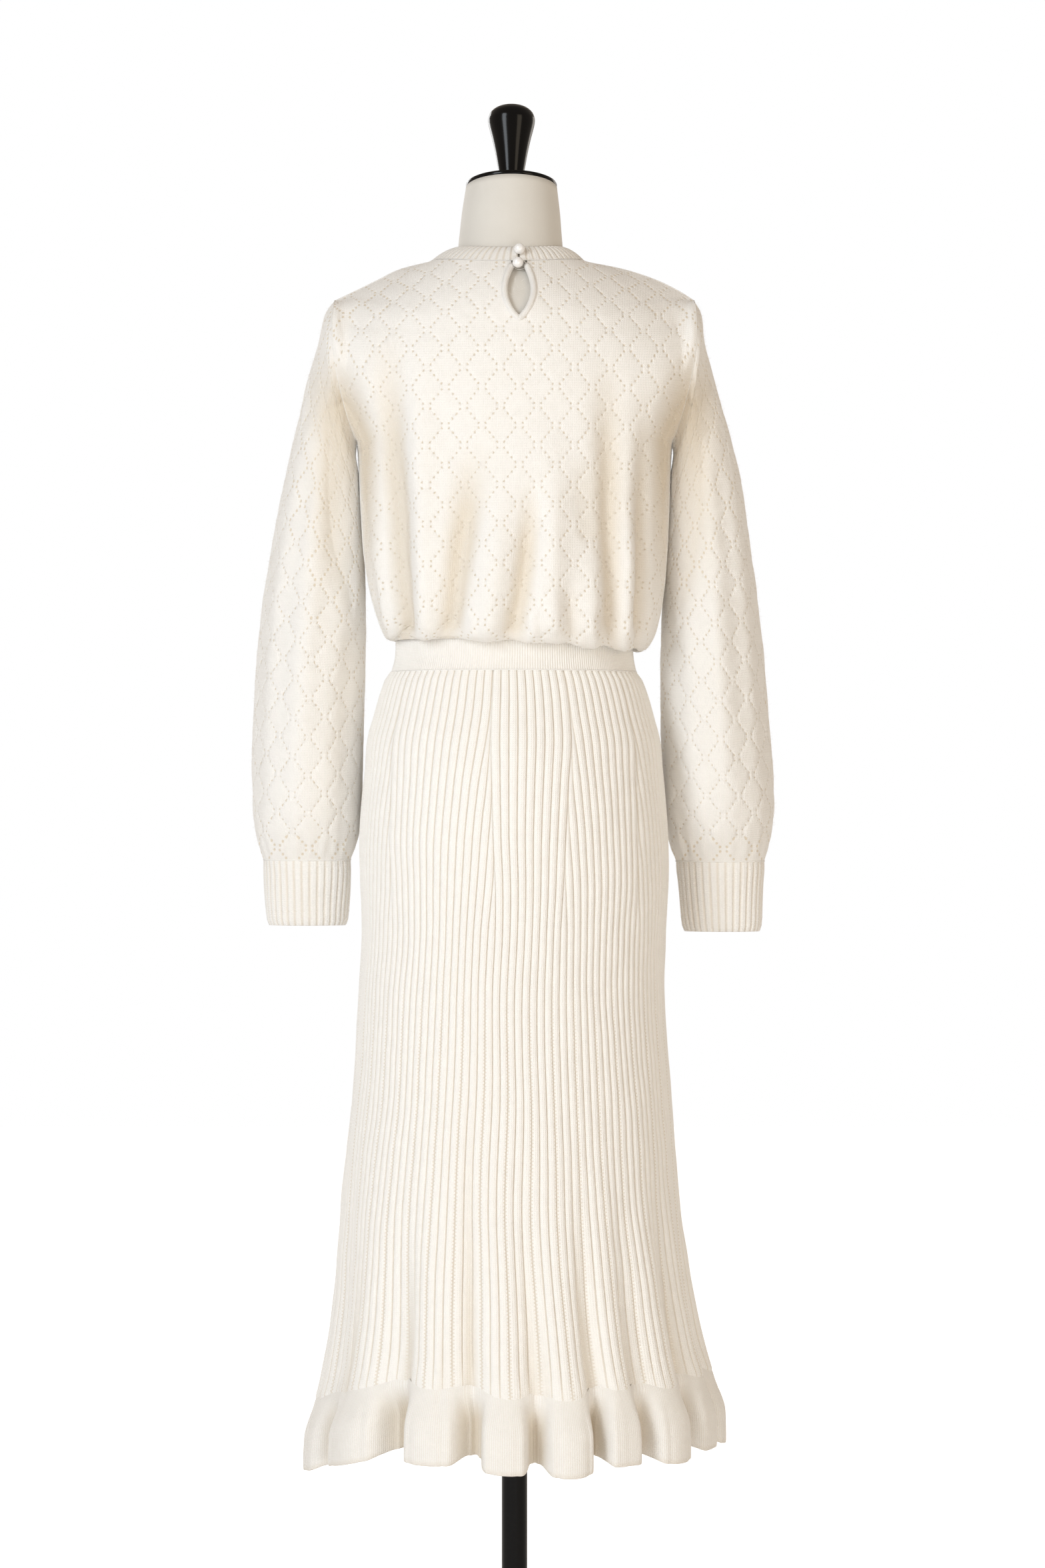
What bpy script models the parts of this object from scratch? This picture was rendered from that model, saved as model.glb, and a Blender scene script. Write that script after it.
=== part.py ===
"""Knit dress with balloon sleeves, worn by a limbless dress form on a pole stand.

Metres, +Z up, the back of the dress towards -Y. The origin is on the floor, under the pole.
The cloth is a set of thin walls, one for each knitted piece, 0.3 mm apart where they are sewn.
Tables hold millimetres; angles round the body start at the centre of the back and grow
towards +X, so 90 degrees is the wearer's right side and 180 degrees the centre front.
"""

import math

import bmesh
import bpy
import numpy as np
from mathutils.bvhtree import BVHTree

MM = 0.001
SEAM_GAP = 0.3

# Walls of the knitted pieces, in mm
BODICE_WALL = 1.8
SLEEVE_WALL = 1.8
SKIRT_WALL = 1.7
SKIRT_RELIEF = 1.3
FLOUNCE_WALL = 1.8
WAISTBAND_WALL = 2.4
CUFF_WALL = 1.7
CUFF_RELIEF = 1.0
NECKBAND_WALL = 1.7
NECKBAND_RELIEF = 0.8

# Bodice, one row for each level from the waist seam to the underarm:
# length up the cloth, height, half width left and right, depth of the back and of the front
BODICE_LEVELS = np.array([
    (0, 1030.8, 115.6, 115.0, 85.4, 86.4),
    (7, 1026.0, 120.0, 121.5, 91.5, 92.5),
    (17, 1029.0, 125.0, 129.0, 100.5, 103.0),
    (27, 1037.0, 128.5, 135.0, 107.0, 111.0),
    (44, 1053.0, 133.5, 140.5, 112.0, 118.0),
    (71, 1080.0, 140.5, 145.0, 114.5, 122.5),
    (101, 1110.0, 145.5, 147.5, 114.5, 125.5),
    (141, 1150.0, 148.5, 149.5, 113.0, 128.0),
    (181, 1190.0, 150.5, 151.0, 112.0, 128.5),
    (213, 1222.0, 153.0, 153.5, 111.5, 127.0),
    (240, 1250.0, 161.0, 161.0, 111.0, 123.5),
    (270, 1280.0, 168.0, 168.0, 109.0, 117.5),
    (300, 1309.5, 172.0, 172.0, 105.0, 109.0),
])
SIDE_SEAM_Y = np.array([(1028.0, 0.0), (1060.0, -9.0), (1100.0, -15.0), (1160.0, -15.0), (1222.0, -10.0)])
BLOUSE_TILT = 6.0  # the fold over the waistband hangs lower on the right

# Armhole, an upright bowed oval: its top and bottom point, half depth and outward bow
ARMHOLE_TOP = (174.5, 1361.0)
ARMHOLE_BOTTOM = (153.2, 1222.0)
ARMHOLE_DEPTH = 48.0
ARMHOLE_Y = -10.0
ARMHOLE_BOW = 8.0
YOKE_ANGLE = 75.0  # where the armhole turns in towards the shoulder, from its top point
BODICE_LEVELS[-1, 1] = (ARMHOLE_TOP[1] + ARMHOLE_BOTTOM[1]) / 2 + (
    (ARMHOLE_TOP[1] - ARMHOLE_BOTTOM[1]) / 2 * math.cos(math.radians(YOKE_ANGLE))
)
UNDERARM_FULLNESS = 34.0  # how far the cloth stays square below the armhole, and down to where
FULLNESS_END = 1115.0

# Edge of a bodice panel above that angle, as shares of the way to the neck:
# share, half width left and right, height
SHOULDER_LINE = np.array([
    (0.36, 174.5, 174.5, 1361.0),
    (0.50, 155.0, 160.0, 1370.5),
    (0.65, 133.0, 138.0, 1381.5),
    (0.82, 112.0, 107.0, 1392.0),
    (1.00, 81.5, 68.5, 1400.0),
])
SHOULDER_Y = -3.0

# Bodice panels: length up to the underarm and up to the yoke, and length of the yoke, then the
# rows of the wall below it and, as shares, inside it
UNDERARM_LENGTH = 213.0
YOKE_LENGTH = 300.0
YOKE_RUN = 88.0
BODICE_ROWS = (0, 5, 11, 20, 32, 55, 90, 130, 175, 213, 222, 240, 270, 300)
YOKE_ROWS = (0.12, 0.24, 0.36, 0.57, 0.79, 0.995)
BACK_COLUMNS = 27
FRONT_COLUMNS = 21
SIDE_SLIT = 0.0016  # half of the gap at a side seam, as a share of half a panel

# Neck seam and top edge of the neckband: centre x, centre y, half width, back and front depth,
# height at the sides, drop at the back and at the front
NECK_SEAM = (-6.5, 0.0, 75.0, 66.0, 68.0, 1400.0, 7.5, 49.0)
NECKBAND_TOP = (-4.0, 3.0, 53.0, 56.0, 58.0, 1413.5, 6.0, 34.0)
NECKBAND_RIBS = 60
NECKBAND_SLIT = 0.012  # half of the gap between its ends, in radians
NECKBAND_SWELL = 2.2
YOKE_SWELL_BACK = 9.0
YOKE_SWELL_FRONT = 4.0

# Keyhole below the neckband: height and half width of the middle of its rolled edge
KEYHOLE_X = 4.5
KEYHOLE_EDGE = np.array([
    (1332.6, 0.0),
    (1335.6, 3.4),
    (1341.0, 7.4),
    (1349.0, 11.4),
    (1360.0, 13.8),
    (1371.0, 12.9),
    (1380.0, 10.2),
    (1387.4, 7.2),
])
KEYHOLE_ROLL = 2.2

# Sleeves, one row for each section from the armhole to the cuff: share of the length, outer
# point (x, z), inner point (x, z), half depth, middle y, outward bow
SLEEVE_LEFT = np.array([
    (0.00, 174.9, 1361.2, 153.8, 1221.8, 48.0, -10.0, 8.0),
    (0.05, 184.0, 1348.0, 153.9, 1210.0, 51.0, -7.0, 6.0),
    (0.11, 191.5, 1320.0, 151.8, 1194.0, 53.0, -1.0, 4.0),
    (0.18, 201.0, 1288.0, 150.2, 1172.0, 54.0, 8.0, 2.0),
    (0.27, 211.0, 1250.0, 149.0, 1146.0, 55.0, 16.0, 0.0),
    (0.37, 222.5, 1204.0, 147.0, 1115.0, 56.0, 22.0, 0.0),
    (0.48, 234.0, 1150.0, 146.0, 1081.0, 58.0, 25.0, 0.0),
    (0.60, 245.5, 1084.0, 146.0, 1041.0, 60.0, 26.0, 0.0),
    (0.72, 253.5, 1012.0, 146.5, 994.0, 62.0, 27.0, 0.0),
    (0.83, 257.5, 942.0, 148.0, 938.0, 62.0, 27.0, 0.0),
    (0.91, 258.0, 886.0, 149.5, 886.0, 58.0, 27.0, 0.0),
    (0.96, 258.0, 848.0, 150.5, 848.0, 51.0, 27.0, 0.0),
    (0.985, 257.0, 826.5, 151.5, 825.5, 40.0, 26.0, 0.0),
    (1.00, 247.5, 817.3, 160.5, 817.3, 25.5, 26.0, 0.0),
])
SLEEVE_RIGHT = np.array([
    (0.00, 174.9, 1361.2, 153.8, 1221.8, 48.0, -10.0, 8.0),
    (0.05, 181.6, 1348.0, 154.5, 1210.0, 51.0, -7.0, 6.0),
    (0.11, 185.6, 1320.0, 152.3, 1194.0, 53.0, -1.0, 4.0),
    (0.18, 194.0, 1288.0, 150.6, 1172.0, 54.0, 8.0, 2.0),
    (0.27, 206.0, 1250.0, 149.5, 1146.0, 55.0, 17.0, 0.0),
    (0.37, 219.0, 1204.0, 147.5, 1115.0, 56.0, 24.0, 0.0),
    (0.48, 228.5, 1150.0, 145.5, 1081.0, 58.0, 29.0, 0.0),
    (0.60, 238.0, 1084.0, 144.0, 1041.0, 60.0, 33.0, 0.0),
    (0.72, 246.0, 1012.0, 143.5, 994.0, 62.0, 36.0, 0.0),
    (0.83, 251.5, 942.0, 144.0, 938.0, 62.0, 38.0, 0.0),
    (0.91, 256.0, 886.0, 145.0, 886.0, 58.0, 38.0, 0.0),
    (0.96, 256.0, 848.0, 148.0, 848.0, 51.0, 38.0, 0.0),
    (0.985, 255.6, 825.5, 149.3, 824.5, 40.0, 38.0, 0.0),
    (1.00, 247.0, 815.8, 158.5, 815.8, 25.5, 38.0, 0.0),
])
# Cuffs: outer and inner x and height at the top and at the bottom edge, half depth, middle y
CUFF_LEFT = ((247.5, 160.5, 817.0), (242.0, 164.5, 753.5), (25.5, 22.0), 26.0)
CUFF_RIGHT = ((247.0, 158.5, 815.5), (241.5, 167.0, 747.0), (25.5, 21.5), 38.0)
CUFF_RIBS = 34
SLEEVE_COLUMNS = 22
SLEEVE_ROWS = (0.0, 0.05, 0.12, 0.22, 0.34, 0.47, 0.6, 0.73, 0.86, 0.955, 0.985, 1.0)

# Waistband: height, half width left and right, depth of the back and of the front
WAISTBAND_LEVELS = np.array([
    (1000.0, 120.0, 118.5, 88.6, 89.4),
    (1012.0, 116.8, 116.2, 86.2, 86.8),
    (1029.5, 115.6, 115.2, 85.4, 86.0),
])
WAISTBAND_COLUMNS = 48

# Skirt: height, half width left and right, depth of the back and of the front
SKIRT_LEVELS = np.array([
    (290, 190.5, 198.0, 177.0, 175.0),
    (330, 182.0, 185.5, 170.0, 167.0),
    (382, 174.5, 173.5, 162.0, 159.0),
    (434, 171.0, 166.0, 154.0, 151.0),
    (486, 168.0, 160.0, 146.0, 142.0),
    (538, 163.5, 156.5, 139.0, 135.0),
    (590, 158.0, 153.0, 131.0, 127.0),
    (642, 154.5, 149.0, 125.0, 121.0),
    (694, 152.0, 146.5, 121.0, 116.0),
    (746, 149.0, 147.5, 120.0, 112.0),
    (798, 150.5, 150.5, 124.0, 109.0),
    (837, 151.5, 150.0, 126.0, 107.0),
    (864, 150.0, 148.5, 126.0, 105.0),
    (902, 146.5, 145.0, 123.0, 103.0),
    (938, 143.0, 141.5, 115.0, 100.0),
    (954, 138.5, 137.0, 109.0, 98.0),
    (980, 131.0, 129.5, 99.0, 95.0),
    (992, 127.0, 125.0, 94.0, 92.5),
    (999.7, 123.5, 121.0, 91.5, 91.5),
])
SKIRT_TOP = 999.7
SKIRT_SLIT = 0.001  # half of the gap at a side seam, in radians
SKIRT_ROWS = (0.0, 0.14, 0.33, 0.6, 0.76, 0.87, 0.94, 0.98, 1.0)
WAIST_RIBS = 88
SIDE_RIB = 22.5
# Ribs that start at a shaping line: rib number of the line, side on which they start
SHAPING_LINES = (
    (-40.5, -1), (-29.5, -1), (-14.5, -1), (-2.5, -1), (6.5, 1), (14.5, 1), (29.5, 1), (40.5, 1),
)
NEW_RIB_HEIGHTS = (824.0, 885.0, 940.0, 972.0)
NEW_RIB_RUN = 95.0
NEW_RIB_LEAST = 0.07

# Waves of the flounce: angle of each crest, angle of the trough after it, share of full height
FLOUNCE_WAVES = (
    (-76, -62, 0.9), (-47, -32.5, 1.1), (-21.5, -12.5, 1.0), (-4, 3.2, 0.9), (14.5, 24.5, 1.1),
    (31, 38.5, 0.8), (51, 62, 1.0), (70, 77, 0.8), (86, 97, 1.0), (107, 118, 0.9),
    (127, 137, 1.1), (146, 155, 0.9), (165, 176, 1.0), (186, 196, 1.0), (206, 217, 0.9),
    (227, 238, 1.1), (249, 259, 0.9), (271, 279, 0.8),
)
WAVE_START = 620.0
SEAM_WAVE = 5.5
HEM_WAVE = 12.5
# Height of the hem round the dress, from the left side over the back to the right and the front
HEM_LINE = np.array([
    (-90, 228), (-70, 239), (-47, 259), (-21, 263), (-4, 257), (14, 254), (30, 260), (49, 257),
    (68, 260), (90, 257), (120, 254), (150, 250), (180, 248), (210, 246), (240, 240), (270, 228),
])
FLOUNCE_HEIGHT = 65.0
FLOUNCE_GAP = 0.72
SEAM_HEIGHT = 300.0
LOBE_DROP = 5.0
HEM_FLARE = 6.0
FLOUNCE_BELLY = 2.0
FLOUNCE_ROWS = (0.0, 0.4, 1.0)
FLOUNCE_COLUMNS = 6

# Soft folds of the bodice: angle at the waist and higher up, height where it starts and ends,
# half width, depth (negative stands out)
BODICE_FOLDS = (
    (-33, -24, 1032, 1170, 11, 3.6),
    (-58, -52, 1036, 1180, 12, 4.0),
    (-45, -41, 1034, 1230, 13, -3.4),
    (-14, -10, 1034, 1110, 10, -2.6),
    (6, 9, 1032, 1100, 9, 2.8),
    (27, 31, 1030, 1210, 13, 3.2),
    (44, 40, 1032, 1160, 11, -3.2),
    (62, 55, 1030, 1240, 14, 4.4),
    (112, 118, 1030, 1230, 13, 4.0),
    (135, 139, 1032, 1190, 12, -3.0),
    (152, 150, 1030, 1130, 11, 3.0),
    (176, 178, 1034, 1110, 12, -2.4),
    (205, 208, 1030, 1150, 11, 3.2),
    (228, 222, 1032, 1230, 13, 3.8),
    (250, 246, 1034, 1190, 12, -2.8),
)

FOLD_DEGREES = 0.62  # degrees round the bodice for each mm of a fold's half width

# Folds of a sleeve: angle round the section at its ends, share of the length where it starts
# and ends, half width in degrees, depth; 0 is the outer side, 90 the back
SLEEVE_FOLDS = (
    (20, 35, 0.45, 1.05, 14, 2.8),
    (62, 60, 0.30, 1.05, 13, 3.4),
    (88, 84, 0.55, 1.05, 11, -2.6),
    (112, 105, 0.20, 0.80, 16, 3.0),
    (140, 132, 0.60, 1.05, 13, 3.0),
    (205, 200, 0.50, 1.05, 14, 3.0),
    (240, 250, 0.35, 1.05, 15, 3.2),
    (275, 280, 0.55, 1.05, 13, -2.4),
    (310, 300, 0.50, 1.05, 14, 3.0),
)

# Dress form below the shoulders: height, middle x, half width, depth of the back and of the front
FORM_LEVELS = np.array([
    (725, 0.0, 136.0, 108.0, 84.0),
    (760, 0.0, 142.0, 114.0, 90.0),
    (800, 0.0, 143.0, 117.0, 93.0),
    (860, 0.0, 141.0, 118.0, 94.0),
    (920, 0.0, 131.0, 106.0, 90.0),
    (965, -0.5, 119.0, 90.0, 84.0),
    (995, -0.2, 112.2, 82.4, 83.0),
    (1030, -0.2, 111.8, 81.9, 82.5),
    (1080, 0.0, 118.0, 88.0, 96.0),
    (1150, 0.0, 130.0, 98.0, 114.0),
    (1220, 0.0, 141.0, 103.0, 118.0),
    (1265, 0.0, 150.0, 101.0, 110.0),
])
# Its shoulders lie under the bodice and its neck base under the neckband: share of the way up
# the yoke or the band, distance below the outer face of the cloth
FORM_YOKE = ((0.0, 5.6), (0.12, 4.6), (0.24, 3.8), (0.36, 3.2), (0.57, 3.2), (0.79, 3.5), (0.97, 4.7))
FORM_KEYHOLE_ROOM = 1.4
FORM_NECK_BASE = ((0.3, 4.4), (0.65, 3.8), (1.0, 3.6))
FORM_SIDE_ANGLE = 75.0
FORM_EDGE = 0.94
NECK_LEVELS = ((1424, -3.9, 50.2, 5.0), (1448, -3.5, 48.0, 8.0), (1473.5, -3.0, 44.6, 11.0))
NECK_TILT = math.radians(9.4)
FORM_ACROSS = 11

NECK_CAP_RADIUS = 44.4
NECK_CAP_HEIGHT = 4.6
# Radius and height above the neck cap
COLLAR_PROFILE = ((0.0, 0.0), (16.2, 0.0), (16.2, 1.2), (15.2, 4.2), (12.6, 6.6), (9.0, 7.6), (0.0, 7.6))
FINIAL_PROFILE = (
    (0.0, 0.0), (11.8, 0.0), (13.2, 8.0), (16.0, 24.0), (19.0, 38.0), (21.8, 49.0), (22.9, 55.0),
    (22.7, 59.0), (20.6, 64.0), (15.6, 68.2), (8.4, 70.6), (0.0, 71.3),
)
POLE_RADIUS = 12.5
BASE_PROFILE = ((0.0, 0.0), (190.0, 0.0), (192.0, 3.0), (191.0, 8.0), (186.0, 11.0), (30.0, 15.0), (0.0, 15.0))
PEARL_RADIUS = 5.2
PEARL_STANDOFF = 1.1
PEARLS = (("button_upper", 4.8, 1404.0), ("button_lower", 3.4, 1389.6))

# Colour, roughness and metallic of each material
MATERIALS = {
    "cream_knit": ((0.86, 0.81, 0.72, 1.0), 0.95, 0.0),
    "form_cloth": ((0.80, 0.75, 0.67, 1.0), 0.85, 0.0),
    "black_gloss": ((0.006, 0.006, 0.008, 1.0), 0.18, 0.0),
    "pearl": ((0.90, 0.89, 0.87, 1.0), 0.22, 0.0),
}


def clear_scene():
    """Removes every object, mesh and material."""
    for thing in list(bpy.data.objects):
        bpy.data.objects.remove(thing, do_unlink=True)
    for mesh in list(bpy.data.meshes):
        bpy.data.meshes.remove(mesh)
    for material in list(bpy.data.materials):
        bpy.data.materials.remove(material)


def material_named(name):
    """The Principled material of that name, made once."""
    found = bpy.data.materials.get(name)
    if found:
        return found
    colour, roughness, metallic = MATERIALS[name]
    material = bpy.data.materials.new(name)
    material.use_nodes = True
    shader = material.node_tree.nodes["Principled BSDF"]
    shader.inputs["Base Color"].default_value = colour
    shader.inputs["Roughness"].default_value = roughness
    shader.inputs["Metallic"].default_value = metallic
    material.diffuse_color = colour
    return material


def object_of(name, points, faces, material):
    """A mesh object from points in mm, with its faces turned outwards."""
    mesh = bpy.data.meshes.new(name)
    mesh.from_pydata([tuple(point * MM) for point in points], [], faces)
    shape = bmesh.new()
    shape.from_mesh(mesh)
    bmesh.ops.recalc_face_normals(shape, faces=shape.faces)
    if shape.calc_volume(signed=True) < 0:
        bmesh.ops.reverse_faces(shape, faces=shape.faces)
    shape.to_mesh(mesh)
    shape.free()
    thing = bpy.data.objects.new(name, mesh)
    bpy.context.scene.collection.objects.link(thing)
    mesh.materials.append(material_named(material))
    return thing


def level(table, column, at):
    """One column of a table at any place along its first column, smooth between the rows."""
    places = table[:, 0]
    values = table[:, column]
    slopes = np.gradient(values, places)
    at = np.clip(at, places[0], places[-1])
    below = np.clip(np.searchsorted(places, at) - 1, 0, len(places) - 2)
    run = places[below + 1] - places[below]
    share = (at - places[below]) / run
    rise = 3 * share**2 - 2 * share**3
    leave = share**3 - 2 * share**2 + share
    arrive = share**3 - share**2
    return (
        values[below] * (1 - rise)
        + values[below + 1] * rise
        + run * (slopes[below] * leave + slopes[below + 1] * arrive)
    )


def ease(value):
    """0 below 0, 1 above 1 and smooth between."""
    share = np.clip(value, 0.0, 1.0)
    return share * share * (3 - 2 * share)


def stacked(x, y, z):
    """Points from three arrays of one shape."""
    return np.stack(np.broadcast_arrays(x, y, z), axis=-1)


def oval(angle, left, right, back, front):
    """x and y of a round-the-body section with its own half widths and depths."""
    middle = (right - left) / 2
    half = (right + left) / 2
    depth = np.where(np.cos(angle) >= 0, back, front)
    return middle + half * np.sin(angle), -depth * np.cos(angle)


def offset(surface, across, up, distance):
    """Points of a surface moved inwards by a distance, in mm."""
    small = 1e-3
    here = surface(across, up)
    side = surface(across + small, up) - surface(across - small, up)
    rise = surface(across, up + small) - surface(across, up - small)
    normal = np.cross(side, rise)
    normal /= np.linalg.norm(normal, axis=-1, keepdims=True)
    return here - normal * np.asarray(distance)[..., None]


def wall(name, outer, inner, step, closed, material="cream_knit"):
    """One closed wall between outer rows and plainer inner rows, each inner column behind
    every step-th outer column."""
    rows, wide = outer.shape[:2]
    narrow = inner.shape[1]
    points = np.concatenate([outer.reshape(-1, 3), inner.reshape(-1, 3)])
    faces = []

    def out(row, column):
        return row * wide + column % wide

    def back(row, column):
        return rows * wide + row * narrow + column % narrow

    for row in range(rows - 1):
        for column in range(wide if closed else wide - 1):
            faces.append((
                out(row, column), out(row, column + 1), out(row + 1, column + 1), out(row + 1, column),
            ))
        for column in range(narrow if closed else narrow - 1):
            faces.append((
                back(row, column), back(row + 1, column), back(row + 1, column + 1), back(row, column + 1),
            ))
    for row in (0, rows - 1):
        for column in range(narrow if closed else narrow - 1):
            first = column * step
            last = min(first + step, wide if closed else wide - 1)
            middle = (first + last) // 2
            for place in range(first, last):
                near = column if place < middle else column + 1
                faces.append((out(row, place), out(row, place + 1), back(row, near)))
            faces.append((out(row, middle), back(row, column + 1), back(row, column)))
    if not closed:
        for row in range(rows - 1):
            faces.append((out(row, 0), out(row + 1, 0), back(row + 1, 0), back(row, 0)))
            end, inner_end = wide - 1, narrow - 1
            faces.append((
                out(row, end), out(row + 1, end), back(row + 1, inner_end), back(row, inner_end),
            ))
    return object_of(name, points, faces, material)


def columns_between(first, last, count, step):
    """Even places across a panel and every step-th of them, the last one always kept."""
    outer = np.linspace(first, last, count)
    kept = list(range(0, count - 1, step)) + [count - 1]
    return outer, outer[kept]


def folded(folds, angle, height, unit):
    """How far the folds push a surface inwards at an angle in degrees and a height."""
    total = np.zeros(np.broadcast(angle, height).shape)
    for low_angle, high_angle, low, high, width, depth in folds:
        share = np.clip((height - low) / (high - low), 0.0, 1.0)
        middle = low_angle + (high_angle - low_angle) * share
        away = (angle - middle + 180) % 360 - 180
        along = ease(share / 0.18 + 0.25) * ease((1 - share) / 0.5)
        total = total + depth * along * np.exp(-((away / (width * unit)) ** 2))
    return total


# ---------------------------------------------------------------- bodice


def armhole(angle, side):
    """Point of the armhole seam, its angle from the shoulder point, side -1 back or 1 front."""
    turn = np.radians(angle)
    top, bottom = np.array(ARMHOLE_TOP), np.array(ARMHOLE_BOTTOM)
    middle, reach = (top + bottom) / 2, (top - bottom) / 2
    x = middle[0] + reach[0] * np.cos(turn) + ARMHOLE_BOW * np.sin(turn) ** 2
    z = middle[1] + reach[1] * np.cos(turn)
    y = ARMHOLE_Y + side * ARMHOLE_DEPTH * np.sin(turn)
    return x, y, z


def neck_ring(ring, angle):
    """Points of an oval round the neck."""
    middle_x, middle_y, half, back, front, height, back_drop, front_drop = ring
    toward = np.cos(angle)
    depth = np.where(toward >= 0, back, front)
    drop = np.where(toward >= 0, back_drop, front_drop)
    return stacked(
        middle_x + half * np.sin(angle), middle_y - depth * toward, height - drop * toward**2,
    )


def body_level(across, up, side):
    """A bodice section below the yoke: across is -1 to 1, up the length from the waist seam."""
    height = level(BODICE_LEVELS, 1, up)
    left, right = level(BODICE_LEVELS, 2, up), level(BODICE_LEVELS, 3, up)
    depth = level(BODICE_LEVELS, 4 if side < 0 else 5, up)
    bottom = ARMHOLE_BOTTOM[1]
    reach = (ARMHOLE_TOP[1] - bottom) / 2
    share = np.clip((height - bottom - reach) / reach, -1.0, 1.0)
    angle = np.degrees(np.arccos(share))
    edge_x, edge_y, _ = armhole(angle, side)
    above = ease((height - bottom) / 6.0)
    side_y = level(SIDE_SEAM_Y, 1, height)
    edge_y = side_y + (edge_y - side_y) * above
    full = ease((height - FULLNESS_END) / (bottom - FULLNESS_END))
    square_y = side * np.maximum(side * edge_y, side * ARMHOLE_Y + UNDERARM_FULLNESS * full)
    half = np.where(across < 0, left, right)
    half = half + (edge_x - half) * above
    turn = np.radians(90.0 - 24.0 * ease((height - bottom) / 70.0))
    x = half * np.sin(across * turn) / np.sin(turn)
    bend = (np.cos(across * turn) - np.cos(turn)) / (1 - np.cos(turn))
    y = square_y + (side * depth - square_y) * bend
    y = y + (edge_y - square_y) * ease((np.abs(across) - 0.8) / 0.2)
    blouse = ease((60.0 - up) / 60.0) * ease(up / 8.0)
    height = height - BLOUSE_TILT * np.sin(across * math.pi / 2) * blouse
    return stacked(x, y, height)


def yoke_edge(share, sign, side):
    """Edge of a panel above the yoke level: round the armhole, then along the shoulder."""
    bend = SHOULDER_LINE[0, 0]
    x, y, z = armhole(YOKE_ANGLE * (1 - np.clip(share / bend, 0.0, 1.0)), side)
    ridge_x = level(SHOULDER_LINE, 1 if sign < 0 else 2, share)
    ridge_z = level(SHOULDER_LINE, 3, share)
    past = share > bend
    x = np.where(past, ridge_x, x)
    z = np.where(past, ridge_z, z)
    y = np.where(past, ARMHOLE_Y + (SHOULDER_Y - ARMHOLE_Y) * (share - bend) / (1 - bend), y)
    return stacked(sign * x, y, z)


def bodice_surface(side, with_folds=True):
    """The cloth of a bodice panel, side -1 for the back and 1 for the front."""

    def yoke(across, share):
        low = body_level(across, np.full(np.shape(share), YOKE_LENGTH), side)
        turn = across * math.pi / 2 if side < 0 else math.pi - across * math.pi / 2
        high = neck_ring(NECK_SEAM, turn)
        flat = low + (high - low) * share[..., None]
        for sign in (-1, 1):
            edge = yoke_edge(share, sign, side)
            one = np.full(np.shape(share), float(sign))
            corner_low = body_level(one, np.full(np.shape(share), YOKE_LENGTH), side)
            corner_high = neck_ring(NECK_SEAM, sign * math.pi / 2 + 0 * share)
            straight = corner_low + (corner_high - corner_low) * share[..., None]
            weight = np.clip(across * sign, 0.0, 1.0) ** 3
            flat = flat + (edge - straight) * weight[..., None]
        swell = (YOKE_SWELL_BACK if side < 0 else YOKE_SWELL_FRONT) * 4 * share * (1 - share)
        flat[..., 1] += side * swell * np.cos(across * math.pi / 2)
        return flat

    def surface(across, up):
        across, up = np.broadcast_arrays(np.asarray(across, float), np.asarray(up, float))
        share = np.clip((up - YOKE_LENGTH) / YOKE_RUN, 0.0, 1.2)
        above = up > YOKE_LENGTH
        points = np.where(above[..., None], yoke(across, share), body_level(across, up, side))
        if not with_folds:
            return points
        degrees = 90.0 * across if side < 0 else 180.0 - 90.0 * across
        inward = folded(BODICE_FOLDS, degrees, points[..., 2], FOLD_DEGREES)
        inward *= ease((1 - np.abs(across)) / 0.08) * ease(up / 25.0)
        middle = np.array([0.0, 0.0, 1.0])
        toward = points * (1 - middle)
        toward /= np.linalg.norm(toward, axis=-1, keepdims=True)
        return points - toward * inward[..., None]

    return surface


def bodice_panel(name, side, columns, lengths):
    """A bodice panel with its side seams, armholes, shoulders and neck edge."""
    surface = bodice_surface(side)
    wide, narrow = columns_between(-1 + SIDE_SLIT, 1 - SIDE_SLIT, columns, 2)
    up = np.array(lengths)[:, None]
    outer = surface(wide[None, :], up)
    inner = offset(surface, narrow[None, :], up, -side * BODICE_WALL * np.ones((len(up), len(narrow))))
    pull = SEAM_GAP / 2 * side
    for points in (outer, inner):
        points[..., 1] += pull * ease((up - UNDERARM_LENGTH) / 20.0)
    for row in range(len(up)):
        if up[row, 0] >= YOKE_LENGTH + YOKE_RUN * SHOULDER_LINE[0, 0]:
            edge = outer[row, 0, 1]
            inner[row, :, 1] = side * np.maximum(side * inner[row, :, 1], side * edge)
    return wall(name, outer, inner, 2, False)


def build_bodice():
    """Back and front panel; the back is cut away inside the keyhole's rolled edge."""
    lengths = list(BODICE_ROWS) + [YOKE_LENGTH + YOKE_RUN * share for share in YOKE_ROWS]
    back = bodice_panel("bodice_back", -1, BACK_COLUMNS, lengths)
    bodice_panel("bodice_front", 1, FRONT_COLUMNS, lengths)
    cutter = keyhole_cutter()
    cut = back.modifiers.new("keyhole", "BOOLEAN")
    cut.operation = "DIFFERENCE"
    cut.solver = "EXACT"
    cut.object = cutter


def keyhole_outline(grow, above):
    """Outline of the keyhole in x and z, grown outwards from the middle of the rolled edge."""
    heights, halves = KEYHOLE_EDGE[:, 0], KEYHOLE_EDGE[:, 1]
    path = np.stack([halves, heights], axis=1)
    along = np.gradient(path, axis=0)
    outward = np.stack([along[:, 1], -along[:, 0]], axis=1)
    outward /= np.linalg.norm(outward, axis=1, keepdims=True)
    outward[0] = (0.0, -1.0)
    grown = path + outward * grow
    grown[0] = (0.0, path[0, 1] - grow * 1.25)
    top = (grown[-1, 0], above)
    right = [tuple(point) for point in grown] + [top]
    left = [(-x, z) for x, z in reversed(right[1:])]
    return [(KEYHOLE_X + x, z) for x, z in right + left]


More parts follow.
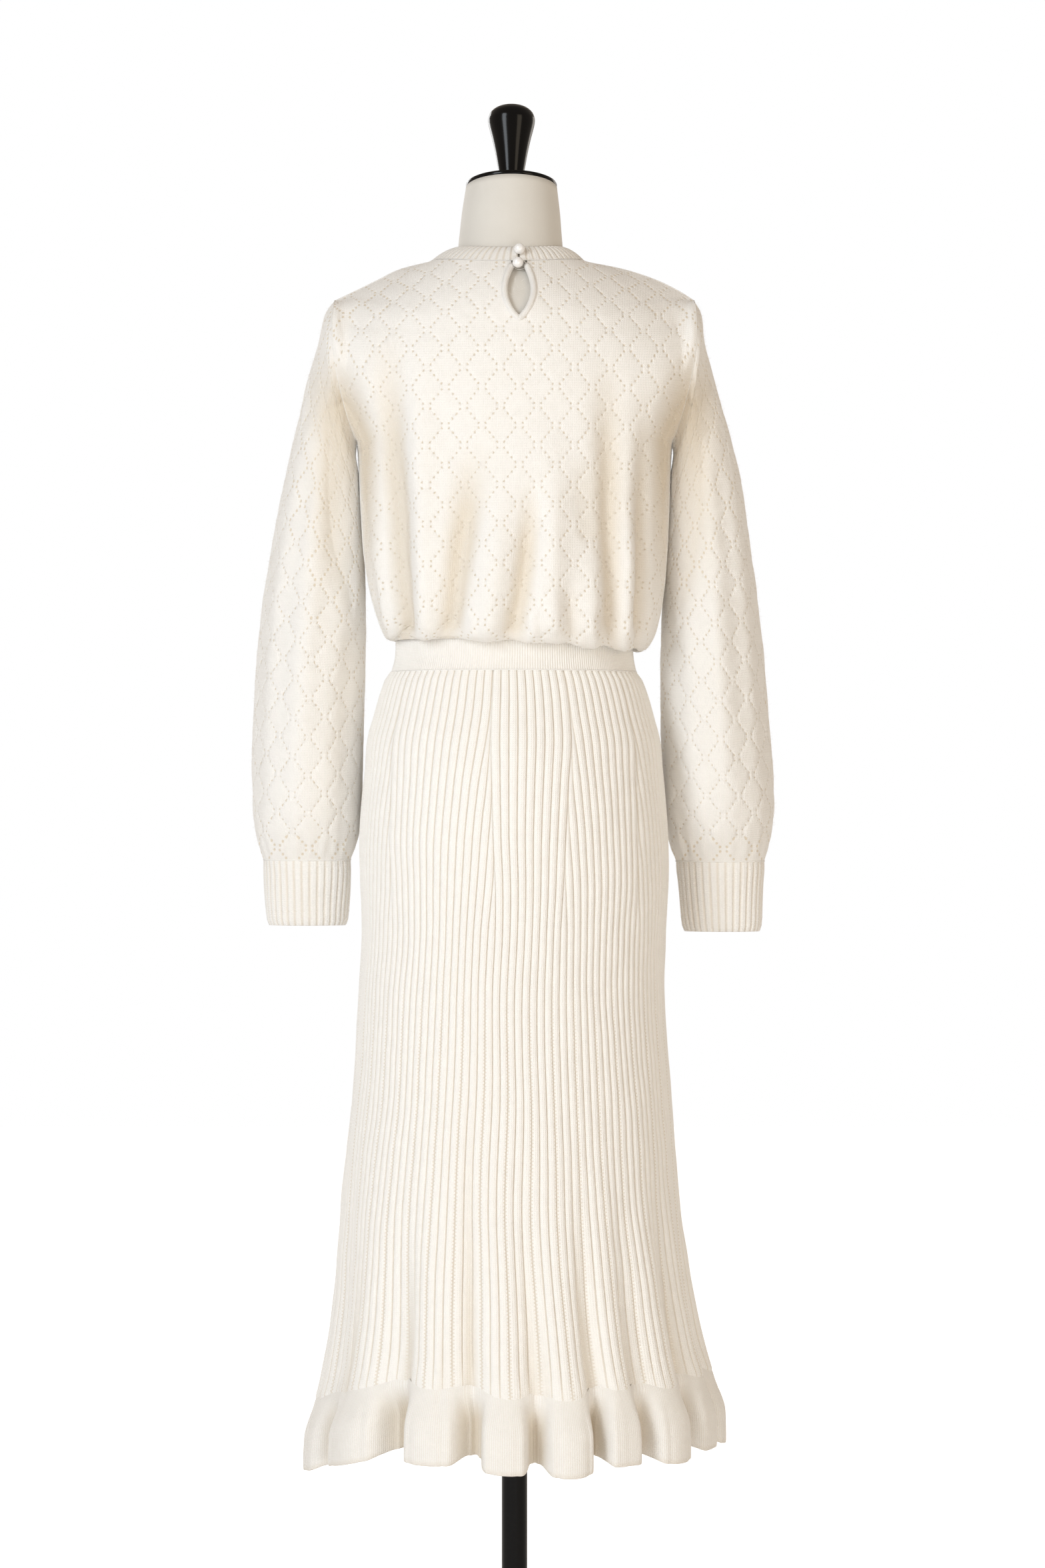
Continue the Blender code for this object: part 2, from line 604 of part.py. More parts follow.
def keyhole_cutter():
    """Upright prism through the back panel, hidden."""
    outline = keyhole_outline(KEYHOLE_ROLL + SEAM_GAP, 1420.0)
    near = [(x, -130.0, z) for x, z in outline]
    far = [(x, -40.0, z) for x, z in outline]
    count = len(outline)
    faces = [tuple(range(count)), tuple(range(2 * count - 1, count - 1, -1))]
    faces += [(i, count + i, count + (i + 1) % count, (i + 1) % count) for i in range(count)]
    cutter = object_of("keyhole_cutter", np.array(near + far), faces, "cream_knit")
    cutter.hide_render = True
    cutter.display_type = "WIRE"
    return cutter


def back_surface_finder():
    """A function giving y of the outer face of the back panel at x and z."""
    surface = bodice_surface(-1)
    across = np.linspace(-1, 1, 121)
    up = np.linspace(0, YOKE_LENGTH + YOKE_RUN * 1.1, 160)
    points = surface(across[None, :], up[:, None])
    wide = len(across)
    faces = [
        (r * wide + c, r * wide + c + 1, (r + 1) * wide + c + 1, (r + 1) * wide + c)
        for r in range(len(up) - 1)
        for c in range(wide - 1)
    ]
    tree = BVHTree.FromPolygons([tuple(p) for p in points.reshape(-1, 3)], faces)

    def depth(x, z):
        hit = tree.ray_cast((x, -400.0, z), (0.0, 1.0, 0.0))[0]
        return hit.y

    return depth


def tube(name, path, radius, sides, closed, material):
    """A round cord along a path, its ends closed."""
    path = np.array(path, float)
    count = len(path)
    if closed:
        along = np.roll(path, -1, axis=0) - np.roll(path, 1, axis=0)
    else:
        along = np.gradient(path, axis=0)
    along /= np.linalg.norm(along, axis=1, keepdims=True)
    side = np.cross(along, np.array([0.0, 1.0, 0.0]))
    side /= np.linalg.norm(side, axis=1, keepdims=True)
    other = np.cross(along, side)
    turn = np.arange(sides) * 2 * math.pi / sides
    rings = path[:, None] + radius * (
        side[:, None] * np.cos(turn)[None, :, None] + other[:, None] * np.sin(turn)[None, :, None]
    )
    faces = []
    for i in range(count if closed else count - 1):
        for j in range(sides):
            k = (i + 1) % count
            faces.append((
                i * sides + j, i * sides + (j + 1) % sides, k * sides + (j + 1) % sides, k * sides + j,
            ))
    if not closed:
        faces.append(tuple(range(sides)))
        faces.append(tuple(range((count - 1) * sides, count * sides)))
    return object_of(name, rings.reshape(-1, 3), faces, material)


def build_keyhole_edging():
    """Rolled edge of the keyhole, from one end of the neckband to the other."""
    depth = back_surface_finder()
    heights = np.linspace(KEYHOLE_EDGE[0, 0], KEYHOLE_EDGE[-1, 0], 12)
    table = KEYHOLE_EDGE
    halves = np.interp(heights, table[:, 0], table[:, 1])
    right = list(zip(halves, heights))
    left = [(-x, z) for x, z in reversed(right[1:])]
    path = []
    for x, z in left + right:
        path.append((KEYHOLE_X + x, depth(KEYHOLE_X + x, z) + BODICE_WALL / 2, z))
    tube("keyhole_edging", path, KEYHOLE_ROLL, 8, False, "cream_knit")


# ---------------------------------------------------------------- neckband


def neckband_surface(angle, share):
    """The neckband between the neck seam and its top edge, a little rounded."""
    low = neck_ring(NECK_SEAM, angle)
    high = neck_ring(NECKBAND_TOP, angle)
    share = np.asarray(share)[..., None]
    points = low + (high - low) * share
    points[..., 2] += NECKBAND_SWELL * 4 * share[..., 0] * (1 - share[..., 0])
    return points


def build_neckband():
    """Ribbed band round the neck, its two ends meeting above the keyhole."""
    meeting = math.asin((KEYHOLE_X - NECK_SEAM[0]) / NECK_SEAM[2])
    count = 2 * NECKBAND_RIBS + 1
    first, last = meeting + NECKBAND_SLIT, meeting + 2 * math.pi - NECKBAND_SLIT
    angles, inner_angles = columns_between(first, last, count, 4)
    shares = np.array((0.02, 0.5, 1.0))[:, None]
    relief = NECKBAND_RELIEF * (np.arange(count) % 2 == 0)
    outer = offset(neckband_surface, angles[None, :], shares + 0 * angles, relief[None, :] + 0 * shares)
    thick = NECKBAND_WALL + NECKBAND_RELIEF
    inner = offset(
        neckband_surface, inner_angles[None, :], shares + 0 * inner_angles,
        thick * np.ones((3, len(inner_angles))),
    )
    for points in (outer, inner):
        points[0, :, 2] += SEAM_GAP
    wall("neckband", outer, inner, 4, False)


def build_buttons():
    """Two pearl buttons where the ends of the neckband meet."""
    for name, x, height in PEARLS:
        turn = math.asin((x - NECK_SEAM[0]) / NECK_SEAM[2])
        shares = np.linspace(-0.2, 1.3, 60)
        line = neckband_surface(np.full(60, turn), shares)
        front = np.interp(height, line[:, 2], line[:, 1])
        centre = (x, front - PEARL_RADIUS - PEARL_STANDOFF, height)
        mesh = bpy.data.meshes.new(name)
        shape = bmesh.new()
        bmesh.ops.create_uvsphere(shape, u_segments=10, v_segments=7, radius=PEARL_RADIUS * MM)
        bmesh.ops.translate(shape, verts=shape.verts, vec=[value * MM for value in centre])
        shape.to_mesh(mesh)
        shape.free()
        thing = bpy.data.objects.new(name, mesh)
        bpy.context.scene.collection.objects.link(thing)
        mesh.materials.append(material_named("pearl"))


# ---------------------------------------------------------------- sleeves and cuffs


def sleeve_surface(table, mirror):
    """The cloth of a sleeve: angle from its outer side round the back, share of its length."""

    def surface(angle, share):
        angle, share = np.broadcast_arrays(np.asarray(angle, float), np.asarray(share, float))
        place = np.clip(share, 0.0, 1.0)
        outer_x, outer_z = level(table, 1, place), level(table, 2, place)
        inner_x, inner_z = level(table, 3, place), level(table, 4, place)
        depth, middle_y, bow = level(table, 5, place), level(table, 6, place), level(table, 7, place)
        across, round_it = np.cos(angle), np.sin(angle)
        inward = folded(SLEEVE_FOLDS, np.degrees(angle), share, 1.0)
        inward *= ease(share / 0.1) * ease((1.0 - share) / 0.03)
        half = np.hypot(outer_x - inner_x, outer_z - inner_z) / 2
        shrink = 1 - inward / np.maximum(half, depth)
        reach_x, reach_z = (outer_x - inner_x) / 2, (outer_z - inner_z) / 2
        x = (outer_x + inner_x) / 2 + reach_x * across * shrink + bow * round_it**2
        z = (outer_z + inner_z) / 2 + reach_z * across * shrink
        y = middle_y - depth * round_it * shrink
        return stacked(mirror * x, y, z)

    return surface


def build_sleeve(name, table, mirror):
    """One balloon sleeve, open at the armhole and at the cuff seam."""
    surface = sleeve_surface(table, mirror)
    angles = np.arange(SLEEVE_COLUMNS) * 2 * math.pi / SLEEVE_COLUMNS
    shares = np.array(SLEEVE_ROWS)[:, None]
    outer = surface(angles[None, :], shares)
    narrow = angles[::2]
    thick = mirror * SLEEVE_WALL * np.ones((len(shares), len(narrow)))
    inner = offset(surface, narrow[None, :], np.clip(shares, 0.002, 0.998), thick)
    inner[0, :, 0] = mirror * np.maximum(mirror * inner[0, :, 0], mirror * surface(narrow, 0.0)[:, 0])
    inner[-1, :, 2] = np.maximum(inner[-1, :, 2], outer[-1, 0, 2])
    wall(name, outer, inner, 2, True)


def cuff_surface(sizes, mirror):
    """The plain tube of a cuff."""
    (top_out, top_in, top_z), (low_out, low_in, low_z), (top_deep, low_deep), middle_y = sizes

    def surface(angle, share):
        out_x = low_out + (top_out - low_out) * share
        in_x = low_in + (top_in - low_in) * share
        deep = low_deep + (top_deep - low_deep) * share
        x = (out_x + in_x) / 2 + (out_x - in_x) / 2 * np.cos(angle)
        y = middle_y - deep * np.sin(angle)
        z = low_z + (top_z - low_z) * share
        return stacked(mirror * x, y, z + 0 * angle)

    return surface


def build_cuff(name, sizes, mirror):
    """One ribbed cuff."""
    surface = cuff_surface(sizes, mirror)
    count = 2 * CUFF_RIBS
    angles = np.arange(count) * 2 * math.pi / count
    shares = np.array((0.0, 1.0))[:, None]
    relief = CUFF_RELIEF * (np.arange(count) % 2)
    outer = offset(surface, angles[None, :], shares, -mirror * (relief[None, :] + 0 * shares))
    narrow = angles[::2]
    thick = -mirror * (CUFF_WALL + CUFF_RELIEF) * np.ones((2, len(narrow)))
    inner = offset(surface, narrow[None, :], shares, thick)
    wall(name, outer, inner, 2, True)


# ---------------------------------------------------------------- waistband, skirt and flounce


def build_waistband():
    """Waistband, a plain tube whose fine ribs are too small to stand out here."""
    heights = WAISTBAND_LEVELS[:, 0][:, None]
    angles = np.arange(WAISTBAND_COLUMNS) * 2 * math.pi / WAISTBAND_COLUMNS
    sizes = [level(WAISTBAND_LEVELS, column, heights) for column in (1, 2, 3, 4)]
    outer = stacked(*oval(angles[None, :], *sizes), heights)
    sizes = [size - WAISTBAND_WALL for size in sizes]
    inner = stacked(*oval(angles[None, :], *sizes), heights)
    wall("waistband", outer, inner, 1, True)


def skirt_ribs():
    """Rib numbers in order round the skirt and the height at which each one starts."""
    first = -float(int(SIDE_RIB))
    numbers = [(first + index, float("inf")) for index in range(WAIST_RIBS)]
    for line, side in SHAPING_LINES:
        for order, height in enumerate(NEW_RIB_HEIGHTS):
            place = line + side * (order + 1) * 0.01
            if place < first - 0.5:
                place += WAIST_RIBS
            numbers.append((place, height))
    numbers.sort()
    return numbers


def wave_phase(degrees):
    """Phase of the flounce waves, in turns, and their height share at an angle in degrees."""
    marks, phases, shares = [], [], []
    for turn in (-1, 0, 1):
        for order, (crest, trough, share) in enumerate(FLOUNCE_WAVES):
            base = order + turn * len(FLOUNCE_WAVES)
            marks += [crest + 360 * turn, trough + 360 * turn]
            phases += [base, base + 0.5]
            shares += [share, share]
    at = (np.asarray(degrees) + 90.0) % 360.0 - 90.0
    return np.interp(at, marks, phases), np.interp(at, marks, shares)


def wave(degrees):
    """Height of the flounce waves, -1 in a narrow trough and 1 on a broad crest."""
    phase, share = wave_phase(degrees)
    dip = (1 - np.cos(2 * math.pi * phase)) / 2
    return share * (1 - 2 * dip**1.6)


def hem_height(angle):
    """Height of the hem between a crest and a trough of its waves."""
    degrees = (np.degrees(angle) + 90.0) % 360.0 - 90.0
    return level(HEM_LINE, 1, degrees)


def seam_height(angle):
    """Height of the seam between skirt and flounce."""
    return hem_height(angle) + FLOUNCE_HEIGHT - LOBE_DROP * 0.5 * wave(np.degrees(angle))


def skirt_surface(angle, share):
    """The skirt's cloth on its rib crests; share is 0 at the flounce seam and 1 at the waist."""
    low = seam_height(angle)
    height = low + (SKIRT_TOP - low) * share
    sizes = [level(SKIRT_LEVELS, column, height) for column in (1, 2, 3, 4)]
    swing = SEAM_WAVE * (1 - ease((height - SEAM_HEIGHT) / (WAVE_START - SEAM_HEIGHT))) ** 1.5
    swing = swing * wave(np.degrees(angle))
    x, y = oval(angle, *[size + swing for size in sizes])
    return stacked(x, y, height)


def rib_places(share, ribs):
    """Angles of the rib crests and of the valleys between them on one level of the skirt."""
    fine = np.linspace(-math.pi, math.pi, 1441)
    height = SEAM_HEIGHT + (SKIRT_TOP - SEAM_HEIGHT) * share
    sizes = [float(level(SKIRT_LEVELS, column, np.array(height))) for column in (1, 2, 3, 4)]
    x, y = oval(fine, *sizes)
    length = np.concatenate([[0.0], np.cumsum(np.hypot(np.diff(x), np.diff(y)))])
    length -= np.interp(0.0, fine, length)
    weights = np.array([rib_weight(start, height) for _, start in ribs])
    edges = np.concatenate([[0.0], np.cumsum(weights)])
    zero = [index for index, (number, start) in enumerate(ribs) if number == 0.0][0]
    edges = (edges - edges[zero] - weights[zero] / 2) / edges[-1]
    total = length[-1] - length[0]
    wanted = edges * total
    turn = np.floor((wanted - length[0]) / total)
    angles = np.interp(wanted - turn * total, length, fine) + turn * 2 * math.pi
    middles = (edges[:-1] + edges[1:]) / 2 * total
    turn = np.floor((middles - length[0]) / total)
    crests = np.interp(middles - turn * total, length, fine) + turn * 2 * math.pi
    return angles, crests, weights


def rib_weight(start, height):
    """Width of a rib as a share of a full one; a new rib grows below the height where it starts."""
    if start == float("inf"):
        return 1.0
    return NEW_RIB_LEAST + (1 - NEW_RIB_LEAST) * float(ease((start - height) / NEW_RIB_RUN))


def build_skirt():
    """Back and front of the ribbed skirt."""
    ribs = skirt_ribs()
    back_count = sum(1 for number, _ in ribs if number < SIDE_RIB)
    panels = {"skirt_back": (0, back_count), "skirt_front": (back_count, len(ribs))}
    for name, (first, last) in panels.items():
        outer_rows, inner_rows = [], []
        for share in SKIRT_ROWS:
            edges, crests, weights = rib_places(share, ribs)
            angles, relief = [], []
            for rib in range(first, last):
                angles += [edges[rib], crests[rib]]
                near = weights[rib]
                before = min(near, weights[rib - 1])
                relief += [SKIRT_RELIEF * ease(before), SKIRT_RELIEF * (1 - ease(near))]
            angles.append(edges[last])
            relief.append(SKIRT_RELIEF)
            angles, relief = np.array(angles), np.array(relief)
            angles[0] += SKIRT_SLIT
            angles[-1] -= SKIRT_SLIT
            at = np.full(len(angles), share)
            outer_rows.append(offset(skirt_surface, angles, at, relief))
            inner_angles = np.concatenate([angles[0:-1:2], angles[-1:]])
            at = np.full(len(inner_angles), share)
            thick = np.full(len(inner_angles), SKIRT_WALL + SKIRT_RELIEF)
            inner_rows.append(offset(skirt_surface, inner_angles, at, thick))
            for row in (outer_rows[-1], inner_rows[-1]):
                places = angles if row is outer_rows[-1] else inner_angles
                if share in (0.0, 1.0):
                    row[:, 2] = skirt_surface(places, np.full(len(places), share))[:, 2]
        wall(name, np.array(outer_rows), np.array(inner_rows), 2, False)


def flounce_surface(angle, share):
    """The flounce; share is 0 at its seam and 1 at the hem."""
    waves = wave(np.degrees(angle))
    low = hem_height(angle) + FLOUNCE_HEIGHT
    seam = seam_height(angle) - FLOUNCE_GAP
    hem = hem_height(angle) - LOBE_DROP * waves
    height = seam + (hem - seam) * share
    sizes = [level(SKIRT_LEVELS, column, np.asarray(low)) for column in (1, 2, 3, 4)]
    flare = HEM_FLARE * share + FLOUNCE_BELLY * np.sin(math.pi * share)
    rise = ease(share / 0.75)
    swing = (SEAM_WAVE + (HEM_WAVE - SEAM_WAVE) * rise) * waves
    x, y = oval(angle, *[size + flare + swing for size in sizes])
    return stacked(x, y, height)


def build_flounce():
    """Hem flounce, a closed ring of soft waves."""
    count = FLOUNCE_COLUMNS * len(FLOUNCE_WAVES)
    phases = np.arange(count) / FLOUNCE_COLUMNS
    marks, turns = [], []
    for turn in (0, 1):
        for order, (crest, trough, _) in enumerate(FLOUNCE_WAVES):
            marks += [crest + 360 * turn, trough + 360 * turn]
            turns += [order + turn * len(FLOUNCE_WAVES), order + turn * len(FLOUNCE_WAVES) + 0.5]
    angles = np.radians(np.interp(phases, turns, marks))
    shares = np.array(FLOUNCE_ROWS)[:, None]
    outer = flounce_surface(angles[None, :], shares)
    thick = -FLOUNCE_WALL * np.ones((len(shares), count))
    inner = offset(flounce_surface, angles[None, :] + 0 * shares, shares + 0 * angles, thick)
    inner[0, :, 2] = outer[0, :, 2]
    wall("flounce", outer, inner, 1, True)


# ---------------------------------------------------------------- dress form and stand


def closed_rings(name, rings, material):
    """A solid through a stack of rings, closed by a fan at each end."""
    rows, count = rings.shape[:2]
    points = list(rings.reshape(-1, 3)) + [rings[0].mean(axis=0), rings[-1].mean(axis=0)]
    low, high = rows * count, rows * count + 1
    faces = []
    for row in range(rows - 1):
        for column in range(count):
            after = (column + 1) % count
            faces.append((
                row * count + column, row * count + after,
                (row + 1) * count + after, (row + 1) * count + column,
            ))
    for column in range(count):
        after = (column + 1) % count
        faces.append((column, after, low))
        faces.append(((rows - 1) * count + column, (rows - 1) * count + after, high))
    return object_of(name, np.array(points), faces, material)


def lathed(name, profile, segments, place, material):
    """A turned solid; the profile's first and last point are on the axis."""
    turn = np.arange(segments) * 2 * math.pi / segments
    points = [place(0.0, 0.0, profile[0][1])]
    for radius, height in profile[1:-1]:
        points += [place(radius * math.sin(t), -radius * math.cos(t), height) for t in turn]
    points.append(place(0.0, 0.0, profile[-1][1]))
    rings = len(profile) - 2
    top = 1 + rings * segments
    faces = []
    for column in range(segments):
        after = (column + 1) % segments
        faces.append((0, 1 + after, 1 + column))
        last = 1 + (rings - 1) * segments
        faces.append((top, last + column, last + after))
        for ring in range(rings - 1):
            low, high = 1 + ring * segments, 1 + (ring + 1) * segments
            faces.append((low + column, low + after, high + after, high + column))
    return object_of(name, np.array(points), faces, material)


def on_neck(x, y, height):
    """A point above the tilted top of the neck."""
    _, middle_x, _, middle_y = NECK_LEVELS[-1]
    base = NECK_LEVELS[-1][0]
    lean, rise = math.sin(NECK_TILT), math.cos(NECK_TILT)
    return np.array([
        middle_x + x,
        middle_y + y * rise + height * lean,
        base - y * lean + height * rise,
    ])


def build_form():
    """Torso and neck of the dress form in one; flat plates close its arm ends."""
    across = np.linspace(-1, 1, FORM_ACROSS)
    side_angle = math.radians(FORM_SIDE_ANGLE)
    plate = np.array([1 / 3, 2 / 3])
    plate_angles = side_angle + (math.pi - 2 * side_angle) * plate
    angles = np.concatenate([
        across * side_angle, plate_angles, math.pi - across[::-1] * side_angle, math.pi + plate_angles,
    ])

    def joined(back, front):
        right = back[-1] + (front[-1] - back[-1]) * plate[:, None]
        left = front[0] + (back[0] - front[0]) * plate[:, None]
        return np.concatenate([back, right, front[::-1], left])

    rings = []
    for height, middle_x, half, back, front in FORM_LEVELS:
        x, y = oval(angles, half - middle_x, half + middle_x, back, front)
        rings.append(stacked(x, y, height))
    for share, below in FORM_YOKE:
        up = np.full(FORM_ACROSS, YOKE_LENGTH + YOKE_RUN * share)
        halves = []
        for side in (-1, 1):
            surface = bodice_surface(side, False)
            depth = below + FORM_KEYHOLE_ROOM * np.cos(across * math.pi / 2) ** 2
            halves.append(offset(surface, across * FORM_EDGE, up, -side * depth))
        rings.append(joined(*halves))
    for share, below in FORM_NECK_BASE:
        at = np.full(len(angles), share)
        rings.append(offset(neckband_surface, angles, at, np.full(len(angles), below)))
    start = NECKBAND_TOP[5]
    for height, middle_x, radius, middle_y in NECK_LEVELS:
        tilt = NECK_TILT * (height - start) / (NECK_LEVELS[-1][0] - start)
        x = middle_x + radius * np.sin(angles)
        y = middle_y - radius * np.cos(angles) * math.cos(tilt)
        rings.append(stacked(x, y, height + radius * np.cos(angles) * math.sin(tilt)))
    closed_rings("form_torso", np.array(rings), "form_cloth")


def build_stand():
    """Neck cap, finial, pole and round base."""
    cap = (
        (0.0, SEAM_GAP), (NECK_CAP_RADIUS - 0.6, SEAM_GAP), (NECK_CAP_RADIUS, 1.2),
        (NECK_CAP_RADIUS - 0.4, NECK_CAP_HEIGHT - 0.8), (NECK_CAP_RADIUS - 1.8, NECK_CAP_HEIGHT),
        (0.0, NECK_CAP_HEIGHT),
    )
    lathed("neck_cap", cap, 30, on_neck, "black_gloss")
    collar_base = NECK_CAP_HEIGHT + SEAM_GAP
    collar = [(radius, height + collar_base) for radius, height in COLLAR_PROFILE]
    lathed("finial_collar", collar, 20, on_neck, "black_gloss")
    finial_base = collar_base + COLLAR_PROFILE[-1][1] + SEAM_GAP
    finial = [(radius, height + finial_base) for radius, height in FINIAL_PROFILE]
    lathed("finial", finial, 20, on_neck, "black_gloss")

    def upright(x, y, height):
        return np.array([x, y, height])

    base_top = BASE_PROFILE[-1][1]
    pole_top = FORM_LEVELS[0, 0] - SEAM_GAP
    pole = (
        (0.0, base_top + SEAM_GAP), (POLE_RADIUS, base_top + SEAM_GAP), (POLE_RADIUS, pole_top),
        (0.0, pole_top),
    )
    lathed("pole", pole, 24, upright, "black_gloss")
    lathed("stand_base", BASE_PROFILE, 36, upright, "black_gloss")


def main():
    """Builds the dress, the form and the stand."""
    clear_scene()
    build_bodice()
    build_keyhole_edging()
    build_neckband()
    build_buttons()
    build_sleeve("sleeve_left", SLEEVE_LEFT, -1)
    build_sleeve("sleeve_right", SLEEVE_RIGHT, 1)
    build_cuff("cuff_left", CUFF_LEFT, -1)
    build_cuff("cuff_right", CUFF_RIGHT, 1)
    build_waistband()
    build_skirt()
    build_flounce()
    build_form()
    build_stand()


main()
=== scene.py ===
"""Looks of a cream knit dress with balloon sleeves, worn by a limbless dress form on a pole stand.

Tables hold millimetres. Angles round the body start at the centre of the back and grow towards +X.
Every knitted piece is a fine sheet on the form of its solid, with its own flat map: millimetres of
flat cloth on the lace, ribs counted across on everything ribbed.
"""

import math

import bmesh
import bpy
import numpy as np
from mathutils import Matrix, Vector
from mathutils.kdtree import KDTree

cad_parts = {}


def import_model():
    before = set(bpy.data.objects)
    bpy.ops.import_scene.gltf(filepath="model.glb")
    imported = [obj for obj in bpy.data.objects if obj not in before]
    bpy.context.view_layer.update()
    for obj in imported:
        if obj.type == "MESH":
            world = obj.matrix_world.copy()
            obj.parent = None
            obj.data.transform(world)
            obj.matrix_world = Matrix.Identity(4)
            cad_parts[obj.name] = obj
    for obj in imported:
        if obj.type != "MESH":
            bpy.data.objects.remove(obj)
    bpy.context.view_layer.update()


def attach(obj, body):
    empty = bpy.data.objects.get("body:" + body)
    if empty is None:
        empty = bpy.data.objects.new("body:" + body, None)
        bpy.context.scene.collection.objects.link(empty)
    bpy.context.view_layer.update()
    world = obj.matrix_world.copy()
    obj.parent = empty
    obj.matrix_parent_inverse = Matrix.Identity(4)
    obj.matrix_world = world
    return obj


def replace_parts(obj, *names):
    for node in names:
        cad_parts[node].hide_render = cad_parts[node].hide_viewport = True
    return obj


MM = 0.001

# ---------------------------------------------------------------- sizes of the dress

# Bodice: length up the cloth, height, half width left and right, depth of the back and of the front
BODICE_LEVELS = np.array([
    (0, 1030.8, 115.6, 115.0, 85.4, 86.4),
    (7, 1026.0, 120.0, 121.5, 91.5, 92.5),
    (17, 1029.0, 125.0, 129.0, 100.5, 103.0),
    (27, 1037.0, 128.5, 135.0, 107.0, 111.0),
    (44, 1053.0, 133.5, 140.5, 112.0, 118.0),
    (71, 1080.0, 140.5, 145.0, 114.5, 122.5),
    (101, 1110.0, 145.5, 147.5, 114.5, 125.5),
    (141, 1150.0, 148.5, 149.5, 113.0, 128.0),
    (181, 1190.0, 150.5, 151.0, 112.0, 128.5),
    (213, 1222.0, 153.0, 153.5, 111.5, 127.0),
    (240, 1250.0, 161.0, 161.0, 111.0, 123.5),
    (270, 1280.0, 168.0, 168.0, 109.0, 117.5),
    (300, 1309.5, 172.0, 172.0, 105.0, 109.0),
])
SIDE_SEAM_Y = np.array([(1028.0, 0.0), (1060.0, -9.0), (1100.0, -15.0), (1160.0, -15.0), (1222.0, -10.0)])
BLOUSE_TILT = 6.0  # how much lower the blouse hangs on the right than in the middle
ARMHOLE_TOP = (174.5, 1361.0)
ARMHOLE_BOTTOM = (153.2, 1222.0)
ARMHOLE_DEPTH = 48.0
ARMHOLE_Y = -10.0
ARMHOLE_BOW = 8.0  # how far the seam bows outwards between its ends
YOKE_ANGLE = 75.0  # where on the armhole the yoke starts, from the shoulder point
BODICE_LEVELS[-1, 1] = (ARMHOLE_TOP[1] + ARMHOLE_BOTTOM[1]) / 2 + (
    (ARMHOLE_TOP[1] - ARMHOLE_BOTTOM[1]) / 2 * math.cos(math.radians(YOKE_ANGLE))
)
UNDERARM_FULLNESS = 34.0  # least half depth of the side under the arm
FULLNESS_END = 1115.0  # height above which the side is that full
# Shoulder ridge: share of the yoke, half width left and right, height
SHOULDER_LINE = np.array([
    (0.36, 174.5, 174.5, 1361.0),
    (0.50, 155.0, 160.0, 1370.5),
    (0.65, 133.0, 138.0, 1381.5),
    (0.82, 112.0, 107.0, 1392.0),
    (1.00, 81.5, 68.5, 1400.0),
])
SHOULDER_Y = -3.0
YOKE_LENGTH = 300.0  # up the cloth from the waist seam to the yoke
YOKE_RUN = 88.0  # up the cloth from there to the neck seam
YOKE_ROUNDING = 34.0  # reach of the rounding where the two meet
# Rings round the neck: middle x and y, half width, depth of back and front, height, drop of back and front
NECK_SEAM = (-6.5, 0.0, 75.0, 66.0, 68.0, 1400.0, 7.5, 49.0)
NECKBAND_TOP = (-4.0, 3.0, 53.0, 56.0, 58.0, 1413.5, 6.0, 34.0)
NECKBAND_SLIT = 0.012  # half the gap between its ends, in radians
NECKBAND_SWELL = 2.2
YOKE_SWELL_BACK = 9.0
YOKE_SWELL_FRONT = 4.0
KEYHOLE_X = 4.5
# Middle line of the keyhole's rolled edge: height, half width
KEYHOLE_EDGE = np.array([
    (1332.6, 0.0),
    (1335.6, 3.4),
    (1341.0, 7.4),
    (1349.0, 11.4),
    (1360.0, 13.8),
    (1371.0, 12.9),
    (1380.0, 10.2),
    (1387.4, 7.2),
])
KEYHOLE_ROLL = 3.1

# Sleeves: share of the length, outer point (x, z), inner point (x, z), half depth, middle y, bow
SLEEVE_LEFT = np.array([
    (0.00, 174.5, 1361.0, 153.2, 1222.0, 48.0, -10.0, 8.0),
    (0.05, 184.0, 1348.0, 153.9, 1210.0, 51.0, -7.0, 6.0),
    (0.11, 191.5, 1320.0, 151.8, 1194.0, 53.0, -1.0, 4.0),
    (0.18, 201.0, 1288.0, 150.2, 1172.0, 54.0, 8.0, 2.0),
    (0.27, 211.0, 1250.0, 149.0, 1146.0, 55.0, 16.0, 0.0),
    (0.37, 222.5, 1204.0, 147.0, 1115.0, 56.0, 22.0, 0.0),
    (0.48, 234.0, 1150.0, 146.0, 1081.0, 58.0, 25.0, 0.0),
    (0.60, 245.5, 1084.0, 146.0, 1041.0, 60.0, 26.0, 0.0),
    (0.72, 253.5, 1012.0, 146.5, 994.0, 62.0, 27.0, 0.0),
    (0.83, 257.5, 942.0, 148.0, 938.0, 62.0, 27.0, 0.0),
    (0.91, 257.5, 886.0, 149.5, 886.0, 57.0, 27.0, 0.0),
    (0.955, 256.0, 855.0, 151.5, 855.0, 49.0, 27.0, 0.0),
    (0.985, 251.5, 833.0, 155.5, 833.5, 37.0, 26.0, 0.0),
    (1.00, 246.5, 817.3, 161.0, 817.3, 26.5, 26.0, 0.0),
])
